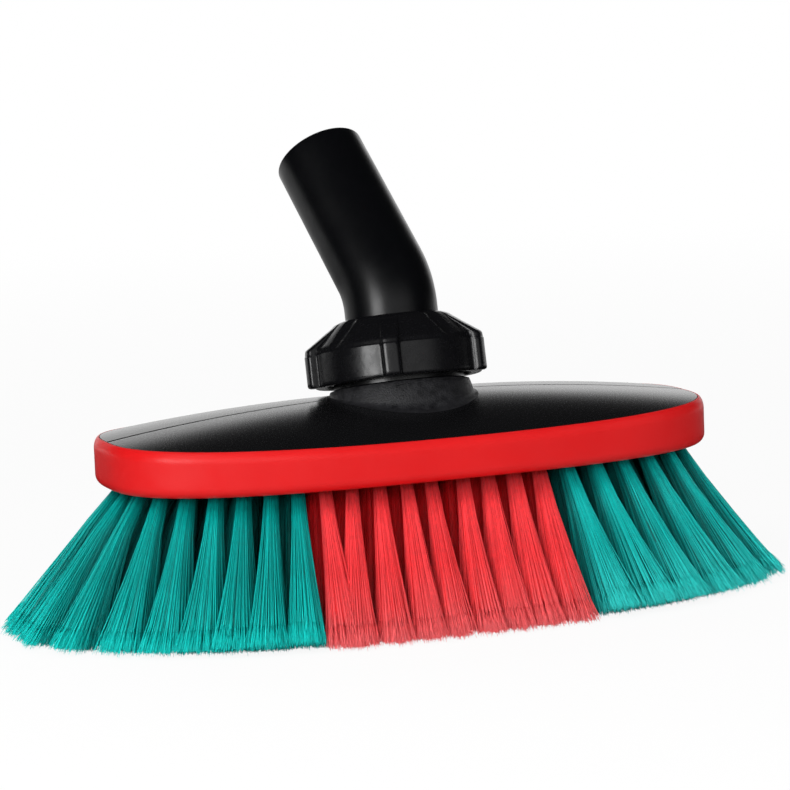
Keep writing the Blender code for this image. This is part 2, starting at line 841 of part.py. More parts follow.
def make_neck(material, neck_axis):
    """Bent tube with a grooved spigot below, a flange, and a stepped socket for the handle."""
    bend_length = neck_bend_radius * math.radians(neck_bend_deg)
    bend_end = neck_bend_start + bend_length
    mouth = bend_end + neck_reach
    half_groove = o_ring_section + gap
    ring_places = o_ring_places()
    groove_radius = neck_radius - 2 * o_ring_section - gap
    stations_out = [(neck_radius - mouth_round, spigot_end), (neck_radius, spigot_end + mouth_round)]
    for place in ring_places:
        stations_out += [
            (neck_radius, place - half_groove),
            (groove_radius, place - half_groove),
            (groove_radius, place + half_groove),
            (neck_radius, place + half_groove),
        ]
    stations_out += [
        (neck_radius, flange_bottom),
        (flange_radius, flange_bottom),
        (flange_radius, flange_top),
        (neck_radius, flange_top),
    ]
    for k in range(neck_bend_count + 1):
        stations_out.append((neck_radius, neck_bend_start + bend_length * k / neck_bend_count))
    stations_out += [
        (neck_end_radius, mouth - mouth_round),
        (neck_end_radius - mouth_round * mouth_round_share, mouth - mouth_round * mouth_round_share),
        (neck_end_radius - mouth_round, mouth),
        (socket_radius + mouth_round / 2, mouth),
        (socket_radius, mouth - mouth_round / 2),
        (socket_radius, mouth - socket_depth),
        (waterway_radius, mouth - socket_depth),
    ]
    for k in reversed(range(neck_bend_count + 1)):
        stations_out.append((waterway_radius, neck_bend_start + bend_length * k / neck_bend_count))
    stations_out.append((waterway_radius, spigot_end))
    bm = bmesh.new()
    skin(bm, [neck_loop(radius, station) for radius, station in stations_out], closed=True)
    neck = add_object("neck", bm, material, neck_axis, smooth_deg=30.0)
    return neck


def make_neck_trim(ring_material, slip_material, neck_axis, slip_axis):
    """O-rings in the spigot's grooves, the handle seal on its step and the slip ring."""
    centre = neck_radius - o_ring_section
    for i, place in enumerate(o_ring_places()):
        section = [(centre + x, place + z) for x, z in circle(0, 0, o_ring_section, o_ring_side_count)]
        turned(f"neck_o_ring_{i + 1}", section, ring_material, neck_axis, smooth_deg=60.0)

    mouth = neck_bend_start + neck_bend_radius * math.radians(neck_bend_deg) + neck_reach
    low = mouth - socket_depth + gap
    corners = (
        (waterway_radius, low),
        (socket_radius - gap, low),
        (socket_radius - gap, low + seal_thickness),
        (waterway_radius, low + seal_thickness),
    )
    bm = bmesh.new()
    skin(bm, [neck_loop(radius, station) for radius, station in corners], closed=True)
    add_object("handle_seal", bm, ring_material, neck_axis)

    corners = (
        (bore_radius, slip_bottom),
        (flange_radius, slip_bottom),
        (flange_radius, slip_top),
        (bore_radius, slip_top),
    )
    turned("slip_ring", corners, slip_material, slip_axis)


def main():
    clear_scene()
    black = make_material("black_plastic", (0.012, 0.012, 0.013), 0.38)
    gloss_black = make_material("neck_plastic", (0.010, 0.010, 0.011), 0.28)
    red = make_material("red_bumper", (0.78, 0.022, 0.025), 0.35)
    plate = make_material("plate_plastic", (0.020, 0.020, 0.022), 0.5)
    rubber = make_material("seal_rubber", (0.015, 0.015, 0.015), 0.7)
    steel = make_material("screw_steel", (0.55, 0.55, 0.56), 0.3)
    steel.node_tree.nodes["Principled BSDF"].inputs["Metallic"].default_value = 1
    nylon = make_material("slip_nylon", (0.72, 0.71, 0.66), 0.45)
    green_fibre = make_material("green_fibre", (0.003, 0.33, 0.26), 0.5)
    red_fibre = make_material("red_fibre", (0.78, 0.035, 0.04), 0.5)

    tilt = (math.radians(-stub_tilt_deg), 0, 0)
    stub_axis = add_empty("stub_axis", (0, 0, seat_z), tilt)
    nut_axis = add_empty("nut_axis", (0, 0, 0), (0, 0, 0), stub_axis)
    slip_axis = add_empty("slip_axis", (0, 0, 0), (0, 0, 0), stub_axis)
    neck_axis = add_empty("neck_axis", (0, 0, 0), (0, 0, math.radians(neck_turn_deg)), stub_axis)

    make_cover(black, stub_axis)
    make_plate(plate)
    make_bumper(red)
    make_gasket(rubber)
    make_screws(steel)
    make_bristles("left", green_fibre)
    make_bristles("centre", red_fibre)
    make_bristles("right", green_fibre)
    make_nut(gloss_black, nut_axis)
    make_neck(gloss_black, neck_axis)
    make_neck_trim(rubber, nylon, neck_axis, slip_axis)


main()
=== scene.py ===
import math

import bpy
import numpy as np
from mathutils import Matrix, Vector


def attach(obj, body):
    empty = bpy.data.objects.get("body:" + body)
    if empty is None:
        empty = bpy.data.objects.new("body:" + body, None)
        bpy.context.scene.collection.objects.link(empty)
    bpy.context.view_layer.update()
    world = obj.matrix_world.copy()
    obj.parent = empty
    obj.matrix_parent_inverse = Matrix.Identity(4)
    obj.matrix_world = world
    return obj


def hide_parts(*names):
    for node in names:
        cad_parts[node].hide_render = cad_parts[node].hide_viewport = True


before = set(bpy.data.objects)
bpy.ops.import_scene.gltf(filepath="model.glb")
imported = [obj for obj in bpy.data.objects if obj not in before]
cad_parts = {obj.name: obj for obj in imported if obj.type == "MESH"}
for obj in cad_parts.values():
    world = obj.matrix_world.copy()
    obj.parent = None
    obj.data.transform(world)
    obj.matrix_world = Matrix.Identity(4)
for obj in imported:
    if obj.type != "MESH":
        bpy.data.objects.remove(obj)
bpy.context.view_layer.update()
bpy.context.scene.view_settings.view_transform = "Standard"
print("frame loaded:", len(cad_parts), "nodes")


# shapes shared by the whole head

head = {
    "halfLength": 0.120,
    "halfWidth": 0.055,
    "power": 2.78,          # how square the oval is
    "bumperZ": 0.0530,      # underside of the bumper
    "seatZ": 0.0690,        # line where bumper and cover meet, at the middle
    "endLift": 0.0021,      # how much that line rises at the ends
    "stubTiltDeg": 12.0,
    "stations": 720,        # points round the oval
}


# superellipse: x = a |cos t|^(2/n), y = b |sin t|^(2/n), each with the sign of its cos or sin
def ovalPoint(angle, a, b):
    c, s = np.cos(angle), np.sin(angle)
    power = 2 / head["power"]
    return np.sign(c) * np.abs(c) ** power * a, np.sign(s) * np.abs(s) ** power * b


# angles that cut the arc from start to end into even lengths, read off the running length of a fine line
def evenAngles(a, b, start, end, count):
    fine = np.linspace(start, end, 60 * count + 1)
    x, y = ovalPoint(fine, a, b)
    run = np.concatenate(([0.0], np.cumsum(np.hypot(np.diff(x), np.diff(y)))))
    return np.interp(np.linspace(0, run[-1], count + 1), run, fine)


# the same all the way round, without its last angle, which is the first again
def roundAngles(a, b, count):
    return evenAngles(a, b, 0, 2 * math.pi, count)[:-1]


# half length and half width of the oval, so far in from the bumper's outside
def ovalHalves(inset=0.0):
    return head["halfLength"] - inset, head["halfWidth"] - inset


# rho = (|x/a|^n + |y/b|^n)^(1/n), which is 1 on the oval and 0 at its middle
def ovalRho(x, y, a, b):
    n = head["power"]
    return (np.abs(x / a) ** n + np.abs(y / b) ** n) ** (1 / n)


# the seat line is a parabola along x: z = seat + lift (x / half length)^2
def seatHeight(x):
    return head["seatZ"] + head["endLift"] * (x / head["halfLength"]) ** 2


# axes of the slanted stub: origin on the seat line's level, w up the stub, u turned about it by so many degrees
def tiltedAxes(turnDeg=0.0):
    turn, tilt = math.radians(turnDeg), math.radians(head["stubTiltDeg"])
    w = np.array((0.0, math.sin(tilt), math.cos(tilt)))
    side = np.array((1.0, 0.0, 0.0))
    across = np.cross(w, side)
    u = math.cos(turn) * side + math.sin(turn) * across
    return np.array((0.0, 0.0, head["seatZ"])), u, np.cross(w, u), w


# places told along u, v and w as the brush's own: origin + x u + y v + z w
def fromAxes(axes, local):
    origin, u, v, w = axes
    return origin + local[..., :1] * u + local[..., 1:2] * v + local[..., 2:] * w


# directions round an axis: cos t first + sin t second
def aroundAxis(angle, first, second):
    return np.cos(angle)[..., None] * first + np.sin(angle)[..., None] * second


def evenTurns(count):
    return np.arange(count) * 2 * math.pi / count


# points of a profile's edge, told as steps out and up from where its two sides would meet
def edgePoints(radius, level, steps):
    return [(radius + out, level + up) for out, up in steps]


# quads between neighbouring rows and columns of a grid of points
def gridFaces(rows, columns, closeRows=False, closeColumns=True):
    r = np.arange(rows if closeRows else rows - 1)
    c = np.arange(columns if closeColumns else columns - 1)
    r, c = np.meshgrid(r, c, indexing="ij")
    below, beside = (r + 1) % rows, (c + 1) % columns
    quads = np.stack((r * columns + c, r * columns + beside, below * columns + beside, below * columns + c), -1)
    return quads.reshape(-1, 4)


# signed volume = sum over triangles of p0 . (p1 x p2) / 6, used to turn the faces outwards
def signedVolume(points, faces):
    total = 0.0
    for block in faces:
        p0 = points[block[:, 0]]
        for k in range(1, block.shape[1] - 1):
            p1, p2 = points[block[:, k]], points[block[:, k + 1]]
            total += np.einsum("ij,ij->", p0, np.cross(p1, p2)) / 6
    return total


def addObject(name, data):
    made = bpy.data.objects.new(name, data)
    bpy.context.scene.collection.objects.link(made)
    return made


# an object that rides its body in the place of some nodes
def placePiece(name, mesh, material, body, stands):
    piece = addObject(name, mesh)
    mesh.materials.append(material)
    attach(piece, body)
    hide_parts(*stands)
    return piece


# a piece from points and blocks of faces, turned outwards
def addPiece(name, points, faces, material, body, stands, sharpDeg, layers=None):
    points = np.asarray(points, float).reshape(-1, 3)
    if signedVolume(points, faces) < 0:
        faces = [block[:, ::-1] for block in faces]
    mesh = bpy.data.meshes.new(name)
    mesh.vertices.add(len(points))
    mesh.vertices.foreach_set("co", points.ravel())
    corners = np.concatenate([block.ravel() for block in faces])
    sizes = np.concatenate([np.full(len(block), block.shape[1]) for block in faces])
    mesh.loops.add(len(corners))
    mesh.loops.foreach_set("vertex_index", corners.astype(np.int32))
    mesh.polygons.add(len(sizes))
    mesh.polygons.foreach_set("loop_start", (np.cumsum(sizes) - sizes).astype(np.int32))
    mesh.polygons.foreach_set("use_smooth", np.ones(len(sizes), bool))
    mesh.update(calc_edges=True)
    if sharpDeg:
        mesh.set_sharp_from_angle(angle=math.radians(sharpDeg))
    for label, values in (layers or {}).items():
        layer = mesh.attributes.new(label, "FLOAT", "POINT")
        layer.data.foreach_set("value", np.asarray(values, np.float32).ravel())
    return placePiece(name, mesh, material, body, stands)


# materials

def newMaterial(name, color, roughness, **sockets):
    material = bpy.data.materials.new(name)
    material.use_nodes = True
    shader = material.node_tree.nodes["Principled BSDF"]
    shader.inputs["Base Color"].default_value = (*color, 1)
    shader.inputs["Roughness"].default_value = roughness
    for label, value in sockets.items():
        shader.inputs[label.replace("_", " ")].default_value = value
    return material


# a node of a material or world; values are its own settings, or numbers or links for its sockets
def addNode(owner, kind, **values):
    node = owner.node_tree.nodes.new("ShaderNode" + kind)
    for label, value in values.items():
        if hasattr(node, label):
            setattr(node, label, value)
        else:
            setSocket(owner, node.inputs[label.replace("_", " ")], value)
    return node


def setSocket(owner, socket, value):
    if isinstance(value, bpy.types.NodeSocket):
        owner.node_tree.links.new(value, socket)
    else:
        socket.default_value = value


def feedShader(material, label, value):
    setSocket(material, material.node_tree.nodes["Principled BSDF"].inputs[label], value)


# a value brought from one pair of limits to another
def addRange(owner, value, limits, results, shape="LINEAR"):
    (low, high), (least, most) = limits, results
    node = addNode(owner, "MapRange", interpolation_type=shape, Value=value, From_Min=low, From_Max=high)
    node.inputs["To Min"].default_value, node.inputs["To Max"].default_value = least, most
    return node.outputs["Result"]


# object coordinates into a noise, and the noise between two limits
def addNoise(material, scale, detail=3.0, limits=(0.35, 0.65), stretch=None):
    place = addNode(material, "TexCoord").outputs["Object"]
    if stretch:
        place = addNode(material, "Mapping", Vector=place, Scale=stretch).outputs["Vector"]
    noise = addNode(material, "TexNoise", Vector=place, Scale=scale, Detail=detail)
    return addRange(material, noise.outputs["Fac"], limits, (0, 1))


def addMix(material, amount, low, high):
    mix = addNode(material, "Mix", data_type="RGBA", Factor=amount)
    for end, value in (("A", low), ("B", high)):
        socket = [one for one in mix.inputs if one.name == end and one.type == "RGBA"][0]
        setSocket(material, socket, (*value, 1) if isinstance(value, tuple) else value)
    return [one for one in mix.outputs if one.type == "RGBA"][0]


def addColor(material, amount, low, high):
    feedShader(material, "Base Color", addMix(material, amount, low, high))


def addRough(material, amount, low, high):
    feedShader(material, "Roughness", addRange(material, amount, (0, 1), (low, high)))


def addBump(material, height, strength, distance):
    bump = addNode(material, "Bump", Height=height, Strength=strength, Distance=distance)
    feedShader(material, "Normal", bump.outputs["Normal"])


# gloss is a noise's scale and detail and the roughness from low to high, relief a noise's scale and detail and
# the bump's strength and distance
def addGrain(material, gloss, relief):
    addRough(material, addNoise(material, *gloss[:2]), *gloss[2:])
    addBump(material, addNoise(material, *relief[:2]), *relief[2:])


# bumper

bumper = {
    "skirt": 0.0020,        # depth of the rounded top edge
    "round": 0.0042,        # height of the roundings
    "height": 0.0160,
    "lipDepth": 0.0070,
    "lipThickness": 0.0012,
    "lipBevel": 0.0003,
    "wall": 0.0032,
    "tongueDepth": 0.0068,
    "tongueLow": -0.0090,
    "tongueHigh": -0.0070,
    "innerTop": (0.0001, 0.0002),   # in and down from the top edge
    "topPower": 1.8,
    "footPower": 2.3,
    "rows": (14, 8, 16),    # over the top edge, down the wall and round the foot
    "sharpDeg": 50.0,
}

bumperRed = newMaterial("bumperRed", (0.56, 0.0055, 0.0065), 0.36, Specular_IOR_Level=0.30)
addColor(bumperRed, addNoise(bumperRed, 24, 2.0), (0.548, 0.0050, 0.0060), (0.572, 0.0062, 0.0072))
addGrain(bumperRed, (160, 4.0, 0.33, 0.42), (1500, 2.0, 0.10, 0.0001))


# profile: a quarter of |i/s|^p + |d/r|^p = 1 above, a straight wall, a fuller quarter below, then the lip,
# the inner wall and the tongue; it is carried round the oval, and its top part follows the seat line
def makeBumper():
    b = bumper
    skirt, height, lip, tongue = (b[k] for k in ("skirt", "height", "lipDepth", "tongueDepth"))
    topRows, wallRows, footRows = b["rows"]
    bend = np.linspace(math.pi / 2, 0, topRows)
    topIn = skirt * (1 - np.cos(bend) ** (2 / b["topPower"]))
    topDown = -b["round"] * (1 - np.sin(bend) ** (2 / b["topPower"]))
    wallDown = np.linspace(-b["round"], b["round"] - height, wallRows)[1:-1]
    turn = np.linspace(0, math.pi / 2, footRows)
    footIn = b["round"] * (1 - np.cos(turn) ** (2 / b["footPower"]))
    footDown = b["round"] - height - b["round"] * np.sin(turn) ** (2 / b["footPower"])
    inner = [
        (lip - b["lipBevel"], -height),
        (lip, b["lipBevel"] - height),
        (lip, b["lipThickness"] - height),
        (b["wall"], b["lipThickness"] - height),
        (b["wall"], b["tongueLow"]),
        (tongue, b["tongueLow"]),
        (tongue, b["tongueHigh"]),
        (skirt + b["innerTop"][0], b["tongueHigh"]),
        (skirt + b["innerTop"][0], -b["innerTop"][1]),
    ]
    inset = np.concatenate((topIn, np.zeros(len(wallDown)), footIn, [p[0] for p in inner]))
    down = np.concatenate((topDown, wallDown, footDown, [p[1] for p in inner]))
    follow = np.clip((down + height - b["round"]) / (height - 2 * b["round"]), 0, 1)
    follow[-len(inner):] = 0
    follow[-1] = 1
    angle = roundAngles(*ovalHalves(), head["stations"])
    x, y = ovalPoint(angle[None, :], *ovalHalves(inset[:, None]))
    z = head["seatZ"] + down[:, None] + follow[:, None] * (seatHeight(x) - head["seatZ"])
    points = np.stack((x, y, z), -1)
    faces = [gridFaces(len(inset), len(angle), closeRows=True)]
    addPiece("bumperBand", points, faces, bumperRed, "head", ["bumper"], b["sharpDeg"])


makeBumper()
print("bumper made")


# cover: dome, slanted stub and its thread

cover = {
    "inset": 0.0023,
    "rimInset": 0.0104,
    "rimZ": 0.0623,
    "rise": 0.0105,
    "domePower": 2.08,
    "wall": 0.0030,
    "stubRadius": 0.0270,
    "flare": 0.0013,        # how much wider the stub is at its foot
    "flareTop": 0.0129,
    "flareRun": 0.0089,
    "flarePower": 2.2,
    "stubTop": 0.0135,      # heights are along the stub's axis
    "coreRadius": 0.0252,
    "collarTop": 0.0265,
    "collarBevel": 0.0005,
    "ledgeBevel": 0.0004,
    "stubEdge": ((-0.0007, 0.0), (-0.0002, -0.0002), (0.0, -0.0007)),
    "wallTop": 0.0012,      # how far below the stub's top edge its plain wall starts
    "boreRadius": 0.0182,
    "boreBevel": 0.0006,
    "footUp": 0.0030,       # how far the foot's rounding reaches up the stub at the front
    "footOut": 0.0046,      # and out over the dome
    "footLeast": 0.20,      # share of that at the sides and the back
    "seamSink": 0.00024,    # depth of the mould's parting line, which runs along the dome
    "meetWithin": (-0.02, 0.04),    # heights between which a wall meets the dome
    "rows": (10, 14, 60, 16),       # down the stub, round its foot, over the dome and under the ceiling
    "sharpDeg": 38.0,
    "thread": (0.0251, 0.0276, 0.0138, 1.94),       # its foot's and its crest's radius, its start and its turns
}

coverBlack = newMaterial("coverBlack", (0.0040, 0.0040, 0.0044), 0.26)
grain = addNoise(coverBlack, 2600, 2.0)
addColor(coverBlack, grain, (0.0034, 0.0034, 0.0038), (0.0044, 0.0044, 0.0048))
addRough(coverBlack, grain, 0.26, 0.275)
addBump(coverBlack, grain, 0.03, 0.00008)

stubBlack = newMaterial("stubBlack", (0.011, 0.011, 0.012), 0.50)
mottle = addNoise(stubBlack, 420, 6.0, (0.3, 0.7))
addColor(stubBlack, mottle, (0.006, 0.006, 0.007), (0.019, 0.019, 0.021))
addRough(stubBlack, mottle, 0.40, 0.58)
addBump(stubBlack, addNoise(stubBlack, 1500, 4.0), 0.5, 0.00020)


# dome: z = seat line + rise (1 - rho^p), rho measured on the cover's own oval
def domeHeight(x, y):
    rho = np.minimum(ovalRho(x, y, *ovalHalves(cover["inset"])), 1)
    return seatHeight(x) + cover["rise"] * (1 - rho ** cover["domePower"])


# stub: radius + flare (1 - (1 - s)^p), s from 0 where the flare starts to 1 where it is full
def stubReach(up):
    c = cover
    s = np.clip((c["flareTop"] - up) / c["flareRun"], 0, 1)
    return c["stubRadius"] + c["flare"] * (1 - (1 - s) ** c["flarePower"])


# height at which a tilted round wall meets the dome, less sink: the height is halved in on 40 times
def meetDome(axes, reach, phi, sink):
    origin, u, v, w = axes
    ray = aroundAxis(phi, u, v)
    low, high = (np.full(len(phi), end) for end in cover["meetWithin"])
    for _ in range(40):
        middle = (low + high) / 2
        p = origin + reach(middle)[:, None] * ray + middle[:, None] * w
        under = p[:, 2] < domeHeight(p[:, 0], p[:, 1]) - sink
        low, high = np.where(under, middle, low), np.where(under, high, middle)
    return middle


# rows of rings from the collar's top down the stub, through a quadratic Bezier foot, out over the dome,
# round the rim, back under the ceiling and up the bore; ring point i always belongs to oval station i
def makeCover():
    c = cover
    core, stub, stubTop, collarTop = (c[k] for k in ("coreRadius", "stubRadius", "stubTop", "collarTop"))
    stubRows, footRows, domeRows, ceilingRows = c["rows"]
    axes = tiltedAxes()
    origin, u, v, w = axes
    a, b = ovalHalves(c["inset"])
    angle = roundAngles(a, b, head["stations"])
    edge = ovalPoint(angle, a, b)
    rim = ovalPoint(angle, *ovalHalves(c["rimInset"]))
    phi = np.unwrap(np.arctan2(edge[1] / b, edge[0] / a))
    ray = aroundAxis(phi, u, v)

    def ring(radius, up):
        radius, up = np.broadcast_to(radius, phi.shape), np.broadcast_to(up, phi.shape)
        return origin + radius[:, None] * ray + up[:, None] * w

    def overDome(start, end, shares, sink):
        for t in shares:
            x, y = (p + (q - p) * t for p, q in zip(start, end))
            rows.append(np.stack((x, y, domeHeight(x, y) - sink), -1))

    rows = [    # threaded core and the ledge at its foot
        ring(core - c["collarBevel"], collarTop),
        ring(core, collarTop - c["collarBevel"]),
        ring(core, stubTop + c["ledgeBevel"]),
        ring(core + c["ledgeBevel"], stubTop),
    ]
    ledge = len(rows) - 1
    rows += [ring(*place) for place in edgePoints(stub, stubTop, c["stubEdge"])]
    meet = meetDome(axes, stubReach, phi, 0)
    front = c["footLeast"] + (1 - c["footLeast"]) * np.clip(-np.sin(phi), 0, 1) ** 2
    start = meet + c["footUp"] * front
    top = stubTop - c["wallTop"]
    for share in np.linspace(0, 1, stubRows)[1:]:
        up = top + (np.minimum(start, top) - top) * share
        rows.append(ring(stubReach(up), up))
    upper = rows[-1]
    corner = ring(stubReach(meet), meet)
    out = ray.copy()
    out[:, 2] = 0
    out /= np.linalg.norm(out, axis=1)[:, None]
    outer = corner + (c["footOut"] * front)[:, None] * out
    outer[:, 2] = domeHeight(outer[:, 0], outer[:, 1])
    for t in np.linspace(0, 1, footRows)[1:]:
        rows.append((1 - t) ** 2 * upper + 2 * t * (1 - t) * corner + t * t * outer)
    domeStart = len(rows)
    overDome(outer.T[:2], edge, np.linspace(0, 1, domeRows)[1:], 0)
    domeEnd = len(rows)
    for x, y in (edge, rim):
        rows.append(np.stack((x, y, np.full_like(x, c["rimZ"])), -1))
    under = meetDome(axes, lambda up: np.full_like(up, c["boreRadius"]), phi, c["wall"])
    overDome(rim, ring(c["boreRadius"], under).T[:2], np.linspace(0, 1, ceilingRows), c["wall"])
    rows.append(ring(c["boreRadius"], collarTop - c["boreBevel"]))
    rows.append(ring(c["boreRadius"] + c["boreBevel"], collarTop))
    points = np.stack(rows)
    points[domeStart:domeEnd, [0, len(phi) // 2], 2] -= c["seamSink"]
    faces = [gridFaces(len(rows), len(phi), closeRows=True)]
    piece = addPiece("coverShell", points, faces, coverBlack, "head", ["cover"], c["sharpDeg"])
    piece.data.materials.append(stubBlack)
    # the threaded core above the ledge keeps the darker cover black, painted shade for the gap under the nut
    rough = np.zeros(len(piece.data.polygons), np.int32)
    rough[ledge * len(phi) : (domeStart - 1) * len(phi)] = 1    # from the ledge down to the stub's foot
    piece.data.polygons.foreach_set("material_index", rough)


thread = {
    "pitch": 0.0050,
    "halfBase": 0.00135,
    "halfCrest": 0.00075,
    "bevel": (0.0001, 0.9),     # beside the crest, and the share of the thread's height there
    "fade": (9, 0.04),          # how fast the thread grows from its ends, and the share that it starts with
    "stepsPerTurn": 96,
    "sharpDeg": 30.0,
}


# thread: a trapezium section carried up a helix, z = start + pitch angle / 2 pi, and sunk into its base at both
# ends
def makeThread(name, base, crest, start, turns, material, body, slotName, stands):
    t = thread
    halfBase, halfCrest = t["halfBase"], t["halfCrest"]
    (bevel, shoulder), (rate, least) = t["bevel"], t["fade"]
    origin, u, v, w = tiltedAxes()
    count = int(turns * t["stepsPerTurn"])
    share = np.linspace(0, 1, count)
    angle = share * turns * 2 * math.pi
    fade = np.clip(np.minimum(share, 1 - share) * turns * rate, least, 1)
    fade = fade * (2 - fade)
    across = np.array((-halfBase, -halfCrest - bevel, -halfCrest, halfCrest, halfCrest + bevel, halfBase))
    reach = np.array((0, shoulder, 1, 1, shoulder, 0))
    radius = base + (crest - base) * fade[:, None] * reach[None, :]
    up = start + halfBase + t["pitch"] * angle[:, None] / (2 * math.pi) + across[None, :]
    points = origin + radius[:, :, None] * aroundAxis(angle[:, None], u, v) + up[:, :, None] * w
    columns = len(across)
    caps = [np.arange(columns)[None, ::-1], np.arange(columns)[None, :] + (count - 1) * columns]
    addPiece(name, points, [gridFaces(count, columns)] + caps, material, body, stands, t["sharpDeg"])


makeCover()
# the stub's thread takes the darker cover black too, painted shade for the gap under the nut
makeThread("stubThread", *cover["thread"], coverBlack, "head", "cover_plastic", ["cover"])
print("cover, stub and thread made")


# lock nut

nut = {
    "bottom": 0.0152,
    "top": 0.0397,
    "shoulder": 0.0345,
    "bore": 0.0279,
    "boreBevel": 0.0005,
    "skirtRadius": 0.0321,
    "skirtTop": 0.0299,
    "skirtEdge": ((-0.0006, 0.0), (-0.0002, 0.0002), (0.0, 0.0007)),
    "band": 0.0023,         # height of the leaning band round the top of the skirt and the lugs
    "bandLean": 0.0006,
    "bandStep": 0.0002,
    "coneRise": 0.0005,     # where the cone starts, up its slope
    "coneTopRadius": 0.0222,
    "coneTopZ": 0.0385,
    "coneEdge": ((0.0012, -0.00105), (0.0002, -0.00022), (-0.0008, 0.00055)),
    "topEdge": ((-0.0020, -0.0002), (-0.0032, 0.0)),
    "neckHole": 0.0182,
    "holeBevel": 0.0004,
    "flangeHole": 0.0218,
    "flangeFoot": (0.0285, 0.0271),     # heights where the flange's hole ends and the bore starts
    "lugRadius": 0.0357,
    "lugHalf": 0.00335,
    "lugCount": 5,
    "lugTurn": -113.6,
    "lugPower": 3.6,
    "lugEdge": ((-0.0010, 0.0), (-0.0003, 0.0003), (0.0, 0.0009)),
    "lugTopZ": 0.0296,
    "lugTopEdge": ((-0.0004, -0.0003), (-0.0008, 0.0004)),
    "lugConeEdge": ((0.0016, -0.00095), (0.0006, -0.00012)),
    "lugTail": ((0.0009, 0.0), (0.00045, 0.02), (0.0002, 0.06)),    # beyond a lug's side, and its weight there
    "lugLeast": 0.12,
    "fluteRadius": 0.0052,
    "fluteDepth": 0.0013,
    "fluteTurn": (9, 0, 0, 0, -7),      # degrees that each flute stands off the middle between two lugs
    "outerSteps": (3, 1, 1, 12, 1, 4, 2, 26, 3, 3, 3, 2, 1),    # rows between the outline's points
    "innerSteps": (2, 4, 2, 4, 2, 8),
    "lugColumns": 14,
    "gapColumns": 82,
    "sharpDeg": 42.0,
    "thread": (0.0280, 0.0255, 0.0163, 1.5),
}

nutBlack = newMaterial("nutBlack", (0.0032, 0.0032, 0.0038), 0.25)
addGrain(nutBlack, (260, 5.0, 0.22, 0.30), (620, 3.0, 0.06, 0.00015))


# points at even steps between each pair of keys
def alongKeys(keys, counts):
    keys = np.asarray(keys, float)
    rows = [keys[i] + (keys[i + 1] - keys[i]) * np.arange(n)[:, None] / n for i, n in enumerate(counts)]
    return np.concatenate(rows + [keys[-1:]])


